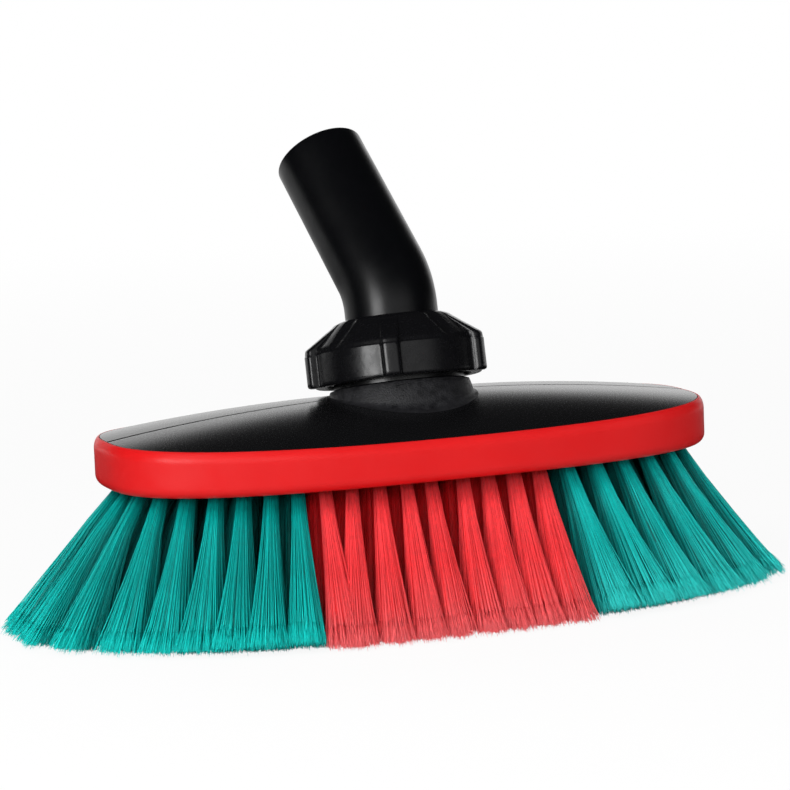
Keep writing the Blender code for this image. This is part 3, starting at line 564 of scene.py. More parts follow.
# nut: each column blends the plain section with the lug section by w = (1 - |t/h|^n)^(1/n), t the distance
# from the lug's middle; the flutes are pressed in wherever a point falls inside a capsule up the cone
def makeNut():
    n = nut
    bottom, top, skirt, skirtTop = (n[k] for k in ("bottom", "top", "skirtRadius", "skirtTop"))
    cone, coneZ, hole = n["coneTopRadius"], n["coneTopZ"], n["neckHole"]
    lean, step = n["bandLean"], n["bandStep"]
    slope = math.atan2(skirt - cone, coneZ - skirtTop)

    def side(radius, level, edge):
        band = [(radius, level - n["band"]), (radius - step, level - n["band"] + step)]
        return edgePoints(radius, bottom, edge) + band

    plain = [(n["bore"] + n["boreBevel"], bottom)] + side(skirt, skirtTop, n["skirtEdge"])
    plain += [
        (skirt - lean, skirtTop - step),
        (skirt - lean - n["coneRise"] * math.sin(slope), skirtTop + n["coneRise"] * math.cos(slope)),
    ]
    plain += edgePoints(cone, coneZ, n["coneEdge"]) + edgePoints(cone, top, n["topEdge"])
    plain += [
        (hole + n["holeBevel"], top),
        (hole, top - n["holeBevel"]),
        (hole, n["shoulder"]),
        (n["flangeHole"], n["shoulder"]),
        (n["flangeHole"], n["flangeFoot"][0]),
        (n["bore"], n["flangeFoot"][1]),
        (n["bore"], bottom + n["boreBevel"]),
    ]
    lug = plain[:1] + side(n["lugRadius"], n["lugTopZ"], n["lugEdge"])
    lug += edgePoints(n["lugRadius"], n["lugTopZ"], n["lugTopEdge"]) + edgePoints(cone, coneZ, n["lugConeEdge"])
    lug += plain[len(lug):]
    counts = n["outerSteps"] + n["innerSteps"]
    base, raised = alongKeys(plain, counts), alongKeys(lug, counts)
    turn = np.linspace(0, math.pi / 2, n["lugColumns"])
    lugT = n["lugHalf"] * np.cos(turn) ** (2 / n["lugPower"])
    lugT[-1] = 0
    lugW = np.maximum(np.sin(turn) ** (2 / n["lugPower"]), n["lugLeast"])
    tail, faint = np.array(n["lugTail"]).T
    offset = np.concatenate((-n["lugHalf"] - tail, -lugT, lugT[-2::-1], n["lugHalf"] + tail[::-1]))
    weight = np.concatenate((faint, lugW, lugW[-2::-1], faint[::-1]))
    between = np.linspace(0, 1, n["gapColumns"])[1:-1]
    sector = 2 * math.pi / n["lugCount"]
    reach = np.maximum(base[:, 0], hole)
    edge = (n["lugHalf"] + tail[0]) / reach
    lugAngle = offset[None, :] / reach[:, None]
    gapAngle = edge[:, None] + (sector - 2 * edge[:, None]) * between[None, :]
    one = np.concatenate((lugAngle, gapAngle), 1)
    angle = np.concatenate([one + k * sector for k in range(n["lugCount"])], 1) + math.radians(n["lugTurn"])
    share = np.tile(np.concatenate((weight, np.zeros(len(between)))), n["lugCount"])[None, :]
    radius = base[:, :1] + (raised[:, :1] - base[:, :1]) * share
    height = base[:, 1:] + (raised[:, 1:] - base[:, 1:]) * share
    local = np.stack((radius * np.cos(angle), radius * np.sin(angle), np.broadcast_to(height, angle.shape)), -1)
    lift = n["fluteRadius"] - n["fluteDepth"]
    outer = np.arange(len(base))[:, None] < sum(n["outerSteps"])
    for k in range(n["lugCount"]):
        phi = (k + 0.5) * sector + math.radians(n["lugTurn"] + n["fluteTurn"][k])
        start = np.array((skirt + lift * math.cos(slope), skirtTop + lift * math.sin(slope)))
        foot = np.array((start[0] * math.cos(phi), start[0] * math.sin(phi), start[1]))
        way = np.array((-math.sin(slope) * math.cos(phi), -math.sin(slope) * math.sin(phi), math.cos(slope)))
        run = np.maximum((local - foot) @ way, 0)
        near = foot + run[..., None] * way
        away = local - near
        size = np.linalg.norm(away, axis=-1)
        inside = (size < n["fluteRadius"]) & outer
        pressed = near + away / size[..., None] * n["fluteRadius"]
        local = np.where(inside[..., None], pressed, local)
    points = fromAxes(tiltedAxes(), local)
    faces = [gridFaces(points.shape[0], points.shape[1], closeRows=True)]
    addPiece("unionNut", points, faces, nutBlack, "nut", ["lock_nut"], n["sharpDeg"])


makeNut()
makeThread("nutThread", *nut["thread"], nutBlack, "nut", "nut_plastic", ["lock_nut"])
print("lock nut made")


# neck

neck = {
    "radius": 0.0179,
    "endRadius": 0.0176,
    "bendDeg": 30.2,
    "bendRadius": 0.0300,
    "bendStart": 0.0434,
    "reach": 0.0575,
    "turnDeg": 109.9,
    "spigotEnd": 0.0095,
    "spigotEdge": ((-0.0012, 0.0), (-0.0003, 0.0003), (0.0, 0.0012)),
    "grooves": (0.0135, 0.0195),
    "grooveHalf": 0.0015,
    "grooveRadius": 0.0152,
    "flangeRadius": 0.0215,
    "flange": (0.0268, 0.0322),
    "socketRadius": 0.0135,
    "socketDepth": 0.0400,
    "waterway": 0.0115,
    "mouthRound": 0.0012,
    "socketEdge": ((0.0006, 0.0), (0.0002, -0.0002), (0.0, -0.0007)),
    "rows": (25, 12, 8, 13),    # round the bend, along the tube, over the mouth's edge and back down the bend
    "sides": 144,
    "sharpDeg": 38.0,
}

neckBlack = newMaterial("neckBlack", (0.0012, 0.0013, 0.0018), 0.33)
addGrain(neckBlack, (90, 4.0, 0.30, 0.36), (900, 2.0, 0.05, 0.0001))


# neck: rings of radius r(s) along a centre line that is straight, then an arc, then straight again
def makeNeck():
    n = neck
    tube, end, socket, water = (n[k] for k in ("radius", "endRadius", "socketRadius", "waterway"))
    bendRows, tubeRows, mouthRows, backRows = n["rows"]
    bend = math.radians(n["bendDeg"])
    bendLength = n["bendRadius"] * bend
    bendEnd = n["bendStart"] + bendLength
    mouth = bendEnd + n["reach"]
    out = edgePoints(tube, n["spigotEnd"], n["spigotEdge"])
    places = [(place - n["grooveHalf"], place + n["grooveHalf"], n["grooveRadius"]) for place in n["grooves"]]
    for low, high, other in places + [(*n["flange"], n["flangeRadius"])]:
        out += [(tube, low), (other, low), (other, high), (tube, high)]
    out += [(tube, s) for s in np.linspace(n["bendStart"], bendEnd, bendRows)]
    run = np.linspace(bendEnd, mouth - n["mouthRound"], tubeRows)[1:]
    out += [(tube + (end - tube) * k / len(run), s) for k, s in enumerate(run, 1)]
    for t in np.linspace(0, math.pi / 2, mouthRows)[1:]:
        out.append((end - n["mouthRound"] * (1 - math.cos(t)), mouth - n["mouthRound"] * (1 - math.sin(t))))
    out += edgePoints(socket, mouth, n["socketEdge"])
    out += [(socket, mouth - n["socketDepth"]), (water, mouth - n["socketDepth"])]
    out += [(water, s) for s in np.linspace(bendEnd, n["bendStart"], backRows)]
    out += [(water, n["spigotEnd"])]
    radius, station = np.array(out).T
    beyond = station - n["bendStart"]
    angle = np.clip(beyond / n["bendRadius"], 0, bend)
    straight = np.where(beyond > bendLength, beyond - bendLength, np.minimum(beyond, 0))
    heading = np.stack((np.sin(angle), np.zeros_like(angle), np.cos(angle)), -1)
    side = np.stack((np.cos(angle), np.zeros_like(angle), -np.sin(angle)), -1)
    hub = np.array((n["bendRadius"], 0, n["bendStart"]))
    centre = hub - side * n["bendRadius"] + heading * straight[:, None]
    ray = aroundAxis(evenTurns(n["sides"])[None, :], side[:, None, :], np.array((0, 1.0, 0)))
    points = fromAxes(tiltedAxes(n["turnDeg"]), centre[:, None, :] + radius[:, None, None] * ray)
    faces = [gridFaces(len(radius), n["sides"], closeRows=True)]
    addPiece("neckTube", points, faces, neckBlack, "neck", ["neck"], n["sharpDeg"])


makeNeck()
print("neck made")


# bristles

tufts = {
    "seed": 11,
    "fieldInset": 0.0100,
    "ringDepth": 0.0112,
    "ringCounts": {"right": 13, "back": 9, "left": 16, "front": 9},
    "rowPitch": 0.0104,
    "halfRed": 0.0477,
    "skew": 0.105,          # slant of the line between red and green
    "rowCount": 6,
    "rowShare": 0.92,
    "rootRadius": {"Ring": 0.0023, "Rows": 0.0032},
    "leastRoot": 0.0011,    # a tuft with less room than this is left out
    "endRoots": 0.07,       # how much further out the roots stand at the two ends
    "rootZ": 0.0550,
    "tipZ": 0.0002,
    "tipLeft": 0.1600,      # how far out the tips stand: left, right, and to the front and back
    "tipRight": 0.1455,
    "tipSide": 0.0870,
    "tipPowerX": 1.17,
    "tipPowerY": 0.45,
    "leftSweep": 0.010,     # how far the left end's tips are swept to the front
    "openPower": {"Ring": 1.6, "Rows": 0.9},    # how late a tuft opens on its way down
    "fan": (-0.13, 0.03),   # how much later than evenly the left and the right end fan out
    "fanAt": 0.10,
    # lean of the front tufts' tips along x, told at some roots' x, and how far to the front it is full
    "leanAt": (-0.1035, -0.0994, -0.0925, -0.0842, -0.0751, -0.0659, -0.0565, -0.0465, -0.036, -0.005, 0.028,
               0.0386, 0.0497, 0.0614, 0.0729, 0.084, 0.0942, 0.1016, 0.104),
    "leanBy": (0.0140, 0.0150, 0.0142, 0.0108, 0.0062, 0.0026, 0.0018, 0.0015, -0.0078, -0.0068, -0.0073,
               -0.0068, -0.0034, -0.0029, -0.0035, -0.0026, -0.0010, 0.0045, 0.0),
    "leanDepth": 0.020,
    "squarePower": 0.7,     # how square the tips of a tuft lie
    "tipFill": 0.98,
    "slant": {"left": 0.58, "centre": 0.12, "right": 0.58},     # rise of the cut towards the outside
    "slantFrom": 0.58,
    "slantReach": 0.06,     # least and most reach, added up, from which the cut rises in full
    "endSlant": 0.35,       # share of the rise left at the two ends
    "endAt": 0.096,
    "paintedEdgeShare": 0.40,      # share of the reach over which the front edge turns from painted shade to a painted highlight
    # least painted highlight on the ends of hairs away from the front edge
    "leastTipHighlight": 0.1,
    "hairs": {"Ring": 420, "Rows": 140},
    "leastHairs": 30,
    "hairPower": 1.2,       # how the hairs grow fewer with a tuft's room
    "goldenAngle": 2.399963,
    "hairRadius": 0.00016,
    "hairRows": (0.0, 0.30, 0.58, 0.82, 1.0),
    "hairGirth": (1, 1, 1, 0.92, 0.55),
    "bow": 0.00022,
    "shake": 0.05,
    "lengthScatter": 0.0005,
    "strayShare": 0.010,
    "strayRise": 0.004,
    "tipScatter": (0.0009, 0.0003),     # of the stray hairs and of the others
    # mean tone of the outer ring's hairs; the inner rows' low tone is painted shade, for rows that lie in the
    # outer tufts' shade
    "toneAndShade": {"Ring": 0.88, "Rows": 0.16},
    "toneScatter": (0.10, 0.05),        # from hair to hair and from tuft to tuft
    "innerPaintedShade": {"left": 0.48, "centre": 0.12, "right": 0.72},  # painted shade: how much darker hairs behind a front edge are
    "coreShare": 0.84,      # size of a tuft's solid heart
    # painted shade: how much darker a tuft's heart is than its hairs
    "corePaintedShade": 0.15,
    "coreGroove": 0.02,
    "coreSides": 40,
    "coreRows": (0.0, 0.1, 0.25, 0.4, 0.55, 0.68, 0.78, 0.84, 0.88, 0.90),
    "coreGirth": (1, 1, 1, 1, 1, 1, 0.98, 0.90, 0.65, 0.25),
    "flagFrom": 0.3,        # where the split ends part, down a hair's last stretch
    "flagSpread": 0.0007,
    "flagGirth": (0.00012, 0.00006),
}
slotNames = {"left": "green_fibre", "centre": "red_fibre", "right": "green_fibre"}


# deep to plain by each hair's tone, then a painted highlight towards its end, with streaks along it
def fibreMaterial(name, deep, plain, tipHighlight):
    material = newMaterial(name, plain, 0.42, Specular_IOR_Level=0.3)
    tone = addNode(material, "Attribute", attribute_name="tone").outputs["Fac"]
    # painted highlight: the end attribute brightens the tips of the front edge's hairs
    end = addNode(material, "Attribute", attribute_name="end").outputs["Fac"]
    streak = addNoise(material, 900, 2.0, (0.3, 0.7), (1, 1, 0.12))
    body = addMix(material, end, addMix(material, tone, deep, plain), tipHighlight)
    shade = addRange(material, streak, (0, 1), (0.86, 1.06))
    shaded = addNode(material, "VectorMath", operation="SCALE", Vector=body, Scale=shade)
    feedShader(material, "Base Color", shaded.outputs["Vector"])
    addRough(material, streak, 0.38, 0.52)
    return material


fibres = {
    "left": fibreMaterial("greenFibre", (0.001, 0.11, 0.10), (0.001, 0.47, 0.43), (0.004, 0.74, 0.68)),
    "centre": fibreMaterial("redFibre", (0.66, 0.008, 0.012), (0.99, 0.065, 0.075), (0.99, 0.18, 0.19)),
    # the right greens are paler as a painted sheen of the light from that side
    "right": fibreMaterial("paintedSheenGreenFibre", (0.001, 0.12, 0.11), (0.006, 0.60, 0.56), (0.05, 0.84, 0.79)),
}


# line between the zones: x = side half red length + skew y
def zoneEdge(side, y):
    return side * tufts["halfRed"] + tufts["skew"] * y


# half length and half width of the field of tufts, in by a share of the outer ring's depth
def fieldHalves(share):
    inset, ring = tufts["fieldInset"], tufts["ringDepth"] * share
    return head["halfLength"] - inset - ring, head["halfWidth"] - inset - ring


# tips: x (1 + sx |x/a|^px) and y (1 + sy rho^py), so that the field spreads more the further out it is, and
# y - sweep |x/a|^6 on the left
def tipPlace(x, y):
    t = tufts
    a, b = fieldHalves(0)
    sx = np.where(x < 0, t["tipLeft"], t["tipRight"]) / a - 1
    sy = (t["tipSide"] / b - 1) * ovalRho(x, y, a, b) ** t["tipPowerY"]
    sweep = t["leftSweep"] * np.clip(-x / a, 0, 1) ** 6
    return x * (1 + sx * np.abs(x / a) ** t["tipPowerX"]), y * (1 + sy) - sweep


# angle at which a zone's edge crosses the ring's middle, halved in on 40 times
def borderAngle(side, ySide):
    a, b = fieldHalves(0.5)
    low, high = (0, math.pi) if ySide > 0 else (-math.pi, 0)
    for _ in range(40):
        middle = (low + high) / 2
        x, y = ovalPoint(np.float64(middle), a, b)
        if (x > zoneEdge(side, y)) == (ySide > 0):
            low = middle
        else:
            high = middle
    return middle


# cells of the outer ring: (zone, start angle, end angle), in four even arcs between the zone edges
def ringCells():
    a, b = fieldHalves(0.5)
    rightFront, rightBack = borderAngle(1, -1), borderAngle(1, 1)
    leftBack, leftFront = borderAngle(-1, 1), borderAngle(-1, -1) + 2 * math.pi
    cells = []
    for arc, zone, start, end in (
        ("right", "right", rightFront, rightBack),
        ("back", "centre", rightBack, leftBack),
        ("left", "left", leftBack, leftFront),
        ("front", "centre", leftFront, rightFront + 2 * math.pi),
    ):
        cuts = evenAngles(a, b, start, end, tufts["ringCounts"][arc])
        cells += [(zone, low, high) for low, high in zip(cuts, cuts[1:])]
    return cells


# cells of the inner rows: (zone, x, y, width, depth)
def rowCells():
    t = tufts
    a, b = fieldHalves(1)
    depth = 2 * b * t["rowShare"] / t["rowCount"]
    cells = []
    for row in range(t["rowCount"]):
        low = depth * (row - t["rowCount"] / 2)
        outer = abs(low + depth / 2) / b
        end = a * (1 - outer ** head["power"]) ** (1 / head["power"])
        left, right = zoneEdge(-1, low + depth / 2), zoneEdge(1, low + depth / 2)
        for zone, start, stop in (("left", -end, left), ("centre", left, right), ("right", right, end)):
            count = max(round((stop - start) / t["rowPitch"]), 0)
            width = (stop - start) / max(count, 1)
            cells += [(zone, start + width * k, low, width, depth) for k in range(count)]
    return cells


fittings = {
    "screws": ((0.066, 0.0265), (0.030, 0.0323)),   # x and y, on all four sides of the middle
    "screwRoom": 0.0031,
    "outlets": (0.0122, 0.0344, 0.0610, 0.0855),    # x on both sides of the middle
    "outletRoom": 0.0021,
}
holes = [(a * x, b * y, fittings["screwRoom"]) for x, y in fittings["screws"] for a in (-1, 1) for b in (-1, 1)]
holes += [(side * x, 0.0, fittings["outletRoom"]) for x in fittings["outlets"] for side in (-1, 1)]


# fewer and closer hairs where a screw or a water outlet takes the tuft's room
def rootRoom(x, y, most):
    return min(most, min(math.hypot(x - hx, y - hy) - radius for hx, hy, radius in holes))


# a tuft as a map: the disc place (r, f) stands at the root, and its tip at the same place in the widened cell,
# the disc stretched towards a square by 1 / max(|cos|, |sin|)^p. The cut rises by slant (reach - start), where
# reach is how far a hair leads outwards, and cut tells the rise and how near the front edge the hair stands
def tuftMap(cell, corner, label):
    t = tufts
    cx, cy = corner(cell, 0.5, 0.5)
    room = rootRoom(float(cx), float(cy), t["rootRadius"][label])
    ax, ay = corner(cell, 0.6, 0.5)
    bx, by = corner(cell, 0.5, 0.6)
    along = np.array((ax - cx, ay - cy)) / math.hypot(ax - cx, ay - cy)
    inward = np.array((bx - cx, by - cy)) / math.hypot(bx - cx, by - cy)
    centre = np.array((cx, cy)) * (1 + t["endRoots"] * abs(cx / head["halfLength"]) ** 4)
    lean = np.interp(cx, t["leanAt"], t["leanBy"]) * min(max(-cy / t["leanDepth"], 0), 1)

    def place(r, f, shake=0.0):
        disc = r * np.stack((np.cos(f), np.sin(f)))
        square = 1 / np.maximum(np.abs(np.cos(f)), np.abs(np.sin(f))) ** t["squarePower"]
        wide = 0.5 + 0.5 * t["tipFill"] * (disc * square + shake)
        tip = np.stack(tipPlace(*corner(cell, wide[0], wide[1])), -1) + np.array((lean, 0))
        return centre + room * (disc[0][..., None] * along + disc[1][..., None] * inward), tip

    root, tip = place(1.0, evenTurns(32))
    reach = np.linalg.norm(tip - root, axis=-1)
    start = reach.min() + t["slantFrom"] * (reach.max() - reach.min())
    rise = t["slant"][cell[0]] * min((reach.min() + reach.max()) / t["slantReach"], 1)
    rise *= 1 - (1 - t["endSlant"]) * min(abs(cx) / t["endAt"], 1) ** 4

    def cut(root, tip):
        beyond = np.maximum(np.linalg.norm(tip - root, axis=-1) - start, 0)
        return rise * beyond, np.clip(beyond / (t["paintedEdgeShare"] * (reach.max() - reach.min())), 0, 1)

    return place, cut, ((tip - centre).mean(0), t["openPower"][label]), room


# how the spread runs down a hair: s^p, p below 1 where hairs fan out early and hang, above 1 where they stay in
def fanPower(rootX):
    left, right = (np.clip(side * rootX / tufts["fanAt"], 0, 1) ** 2 for side in (-1, 1))
    return 1.0 + tufts["fan"][0] * left + tufts["fan"][1] * right


# points down the hairs: the tuft's own drift goes as s^p, the way that a hair parts from it as s^q, so that
# tufts stay narrow above and open below, and z goes straight down to the hair's level
def hairLines(root, tip, drift, power, level, share):
    drift = np.broadcast_to(drift, root.shape)
    along = (share ** fanPower(root[..., :1]))[..., None]
    apart = (share ** np.asarray(power)[..., None])[..., None]
    xy = root[..., None, :] + drift[..., None, :] * along + (tip - root - drift)[..., None, :] * apart
    z = tufts["rootZ"] + (level[..., None] - tufts["rootZ"]) * share
    return np.concatenate((xy, z[..., None]), -1)


# hairs of a tuft: r is the root of an even share and f goes in golden-angle steps. Those that the cut lifts
# form the front edge of the tuft, whose ends get a painted highlight, while the hairs behind it are darker by
# painted shade
def tuftHairs(place, cut, way, count, toneAndShade, innerShade, rng):
    t = tufts
    r = np.sqrt((np.arange(count) + 0.5) / count)
    f = np.arange(count) * t["goldenAngle"] + rng.uniform(0, 6.28)
    root, tip = place(r, f, rng.normal(0, t["shake"], (2, count)))
    rise, edge = cut(root, tip)
    level = t["tipZ"] + rise + np.abs(rng.normal(0, t["lengthScatter"], count))
    stray = rng.random(count) < t["strayShare"]
    level += np.where(stray, rng.uniform(0, t["strayRise"], count), 0)
    tip = tip + np.clip(rng.normal(0, 1, (count, 2)), -2, 2) * np.where(stray, *t["tipScatter"])[:, None]
    each, whole = t["toneScatter"]
    # painted shade: the tone drops the further a hair stands behind the front edge
    tone = np.clip(rng.normal(toneAndShade, each, count) + rng.normal(0, whole) - innerShade * (1 - edge), 0, 1)
    edgeHighlight = t["leastTipHighlight"] + (1 - t["leastTipHighlight"]) * edge
    return np.column_stack((root, tip, np.tile(way[0], (count, 1)), level, tone, edgeHighlight, np.full(count, way[1])))


# heart of a tuft: rings of disc places with grooves down them, drawn in and closed towards the tips, and darker
# than the hairs by painted shade
def tuftCore(place, cut, way, toneAndShade, rng):
    t = tufts
    sides, share, drawn = t["coreSides"], np.array(t["coreRows"]), np.array(t["coreGirth"])
    f = np.broadcast_to(evenTurns(sides), (len(share), sides))
    groove = rng.normal(0, t["coreGroove"], sides)
    root, tip = place((t["coreShare"] + groove) * drawn[:, None], f)
    line = hairLines(root, tip, *way, cut(root, tip)[0], share)
    rows = np.arange(len(share))
    return line[rows, :, rows], rng.normal(toneAndShade - t["corePaintedShade"], t["toneScatter"][0], sides)


# faces of many equal pieces from those of one, whose points number size
def manyFaces(one, caps, pieces, size):
    starts = np.arange(pieces)[:, None, None] * size
    return [(one[None] + starts).reshape(-1, 4), (caps[None] + starts).reshape(-1, caps.shape[1])]


# rings of three points across the lines' way, as wide as girth says
def threeSided(line, girth, spin):
    way = line[:, -1] - line[:, 0]
    way /= np.linalg.norm(way, axis=1)[:, None]
    first = np.cross(way, np.array((0.3, 1.0, 0.1)))
    first /= np.linalg.norm(first, axis=1)[:, None]
    second = np.cross(way, first)
    ray = aroundAxis(spin[:, None] + evenTurns(3), first[:, None], second[:, None])
    rows = line.shape[1]
    points = line[:, :, None] + girth[:, :, None, None] * ray[:, None]
    caps = np.array(((2, 1, 0), (rows * 3 - 3, rows * 3 - 2, rows * 3 - 1)))
    return points.reshape(-1, 3), manyFaces(gridFaces(rows, 3), caps, len(line), rows * 3)


# hairs of five rings, bowed a little, finer towards their ends and paler there by a painted highlight that is
# strongest at the front edge
def hairMesh(hairs, rng):
    count, share = len(hairs), np.array(tufts["hairRows"])
    line = hairLines(hairs[:, :2], hairs[:, 2:4], hairs[:, 4:6], hairs[:, 9], hairs[:, 6], share)
    line[..., :2] += rng.normal(0, tufts["bow"], (count, 1, 2)) * np.sin(share * math.pi)[None, :, None]
    girth = tufts["hairRadius"] * rng.uniform(0.85, 1.2, count)[:, None] * np.array(tufts["hairGirth"])
    points, faces = threeSided(line, girth, rng.uniform(0, 6.28, count))
    # painted highlight: ends brighten down each hair's last stretch, scaled by how near the front edge the hair
    # stands
    ends = np.tile(np.repeat(np.clip((share - 0.6) / 0.4, 0, 1) ** 1.5, 3), count)
    ends *= np.repeat(hairs[:, 8], len(share) * 3)
    return points, faces, {"tone": np.repeat(hairs[:, 7], len(share) * 3), "end": ends}, line


# split ends: from each hair's last stretch two finer ones part sideways, as far as flagSpread at the tip, with
# the same painted highlight as their hair
def flagMesh(line, tone, edge, rng):
    foot = np.tile(line[:, -2] + (line[:, -1] - line[:, -2]) * tufts["flagFrom"], (2, 1))
    end = np.tile(line[:, -1], (2, 1)) + rng.normal(0, tufts["flagSpread"], (2 * len(line), 3))
    end[:, 2] = np.maximum(end[:, 2], 0.0001)
    girth = np.broadcast_to(np.array(tufts["flagGirth"]), (len(foot), 2))
    points, faces = threeSided(np.stack((foot, end), 1), girth, rng.uniform(0, 6.28, len(foot)))
    # painted highlight on the split ends, scaled by the front edge
    ends = np.tile(np.repeat(np.array((0.4, 1.0)), 3), len(foot)) * np.repeat(np.tile(edge, 2), 6)
    return points, faces, {"tone": np.repeat(np.tile(tone, 2), 6), "end": ends}


def coreMesh(cores):
    rows, sides = cores[0][0].shape[:2]
    points = np.concatenate([core[0].reshape(-1, 3) for core in cores])
    tone = np.concatenate([np.tile(core[1], rows) for core in cores])
    caps = np.stack((np.arange(sides)[::-1], np.arange(sides) + (rows - 1) * sides))
    faces = manyFaces(gridFaces(rows, sides), caps, len(cores), rows * sides)
    return points, faces, {"tone": tone, "end": np.zeros(len(tone))}


# place in a cell, by shares along it and across it
def ringCorner(cell, along, across):
    inset = tufts["fieldInset"] + tufts["ringDepth"] * across
    angle = cell[1] + (cell[2] - cell[1]) * along
    return ovalPoint(angle, head["halfLength"] - inset, head["halfWidth"] - inset)


def rowCorner(cell, along, across):
    return cell[1] + cell[3] * along, cell[2] + cell[4] * across


def makeBristles():
    t = tufts
    rng = np.random.default_rng(t["seed"])
    total = 0
    for zone, slotName in slotNames.items():
        cores = []

        def add(label, points, faces, layers):
            stands = [f"bristles_{zone}"]
            addPiece(zone + label, points, faces, fibres[zone], "head", stands, 0, layers)

        for label, cells, corner in (("Ring", ringCells(), ringCorner), ("Rows", rowCells(), rowCorner)):
            grown = []
            mean, innerShade = t["toneAndShade"][label], t["innerPaintedShade"][zone]
            for place, cut, way, room in (tuftMap(cell, corner, label) for cell in cells if cell[0] == zone):
                if room > t["leastRoot"]:
                    fewer = (room / t["rootRadius"][label]) ** t["hairPower"]
                    count = max(int(t["hairs"][label] * fewer), t["leastHairs"])
                    grown.append(tuftHairs(place, cut, way, count, mean, innerShade, rng))
                    cores.append(tuftCore(place, cut, way, mean - innerShade, rng))
            grown = np.concatenate(grown)
            points, faces, layers, line = hairMesh(grown, rng)
            add(label + "Hairs", points, faces, layers)
            add(label + "Ends", *flagMesh(line, grown[:, 7], grown[:, 8], rng))
            total += len(grown)
        add("Cores", *coreMesh(cores))
    print("bristles made:", total, "hairs")


makeBristles()


# tuft slices: a flat filled curve with holes, thickened, one for each zone

slices = {
    "inset": 0.0093,
    "halfGap": 0.00015,     # between two slices
    "middleZ": 0.0560,
    "halfThickness": 0.0015,
    "stations": 480,
    "holeSides": 32,
}


def makeSlice(zone, material):
    s = slices
    a, b = ovalHalves(s["inset"])
    x, y = ovalPoint(roundAngles(a, b, s["stations"]), a, b)
    if zone != "right":
        x = np.minimum(x, zoneEdge(-1 if zone == "left" else 1, y) - s["halfGap"])
    if zone != "left":
        x = np.maximum(x, zoneEdge(1 if zone == "right" else -1, y) + s["halfGap"])
    loops = [np.stack((x, y), -1)]
    turn = evenTurns(s["holeSides"])
    for hx, hy, radius in holes:
        home = "left" if hx < zoneEdge(-1, hy) else "right" if hx > zoneEdge(1, hy) else "centre"
        if home == zone:
            loops.append(np.stack((hx + radius * np.cos(turn), hy + radius * np.sin(turn)), -1))
    curve = bpy.data.curves.new(f"{zone}SliceLine", "CURVE")
    curve.dimensions = "2D"
    curve.fill_mode = "BOTH"
    curve.extrude = s["halfThickness"]
    for loop in loops:
        loop = loop[np.concatenate(([True], np.linalg.norm(np.diff(loop, axis=0), axis=1) > 1e-6))]
        spline = curve.splines.new("POLY")
        spline.points.add(len(loop) - 1)
        ends = np.tile((0.0, 1.0), (len(loop), 1))
        spline.points.foreach_set("co", np.column_stack((loop, ends)).ravel())
        spline.use_cyclic_u = True
    guide = addObject(f"{zone}SliceGuide", curve)
    bpy.context.view_layer.update()
    mesh = bpy.data.meshes.new_from_object(guide)
    bpy.data.objects.remove(guide)
    mesh.transform(Matrix.Translation((0, 0, s["middleZ"])))
    mesh.materials.clear()
    placePiece(f"{zone}Slice", mesh, material, "head", [f"bristles_{zone}"])


sliceGreen = newMaterial("sliceGreen", (0.003, 0.22, 0.17), 0.5)
sliceRed = newMaterial("sliceRed", (0.45, 0.016, 0.018), 0.5)
for material in (sliceGreen, sliceRed):
    addGrain(material, (300, 4.0, 0.45, 0.6), (900, 2.0, 0.15, 0.0002))
for zone, slotName in slotNames.items():
    makeSlice(zone, sliceRed if zone == "centre" else sliceGreen)
print("tuft slices made")


# parts that keep their solid's shape

plateBlack = newMaterial("plateBlack", (0.018, 0.018, 0.020), 0.5)
addGrain(plateBlack, (200, 4.0, 0.44, 0.6), (1300, 3.0, 0.25, 0.0002))

sealBlack = newMaterial("sealBlack", (0.014, 0.014, 0.014), 0.7)
addGrain(sealBlack, (400, 4.0, 0.6, 0.8), (1600, 2.0, 0.2, 0.0001))

screwSteel = newMaterial("screwSteel", (0.56, 0.56, 0.57), 0.3, Metallic=1.0)
addRough(screwSteel, addNoise(screwSteel, 900, 3.0, stretch=(1, 1, 6)), 0.24, 0.42)
addBump(screwSteel, addNoise(screwSteel, 2600, 2.0, stretch=(1, 1, 8)), 0.15, 0.00005)

slipNylon = newMaterial("slipNylon", (0.70, 0.69, 0.63), 0.42)
addColor(slipNylon, addNoise(slipNylon, 120), (0.66, 0.65, 0.59), (0.73, 0.72, 0.66))
addRough(slipNylon, addNoise(slipNylon, 500), 0.36, 0.5)

finishes = {
    "base_plate": plateBlack,
    "cover_gasket": sealBlack,
    "neck_o_ring_1": sealBlack,
    "neck_o_ring_2": sealBlack,
    "handle_seal": sealBlack,
    "slip_ring": slipNylon,
}
for name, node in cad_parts.items():
    material = screwSteel if name.startswith("plate_screw") else finishes.get(name)
    if material:
        for place in node.material_slots:
            place.material = material
print("finishes given to the kept parts")


# floor, light and camera

studio = {
    "floorHalf": 12.0,
    "floorZ": -0.0002,
    "paper": (0.86, 0.86, 0.86),
    "ahead": (0.352, 0.936, 0.0),       # level direction from the front of the studio to its white back
    "floorWhite": (0.90, 1.0),          # how white the paper is by itself, near the brush and far from it
    "floorFade": (0.30, 1.60),
    "floorDark": 0.015,                 # what reflections see of the floor in front
    "floorEdge": (0.25, 0.9),
    "worldFill": 0.22,
    "glossDark": 0.012,                 # what reflections see of the world besides its two bands
    "backGlow": 1.5,
    "backTop": (0.16, 0.42),            # a band fades out between these heights of a direction
    "backEdge": ((0.70, 0.98), (0.0, 1.0)),
    "frontGlow": 0.60,
    "frontTop": (0.34, 0.52),
    "frontEdge": ((-0.85, -0.35), (1.0, 0.0)),
}

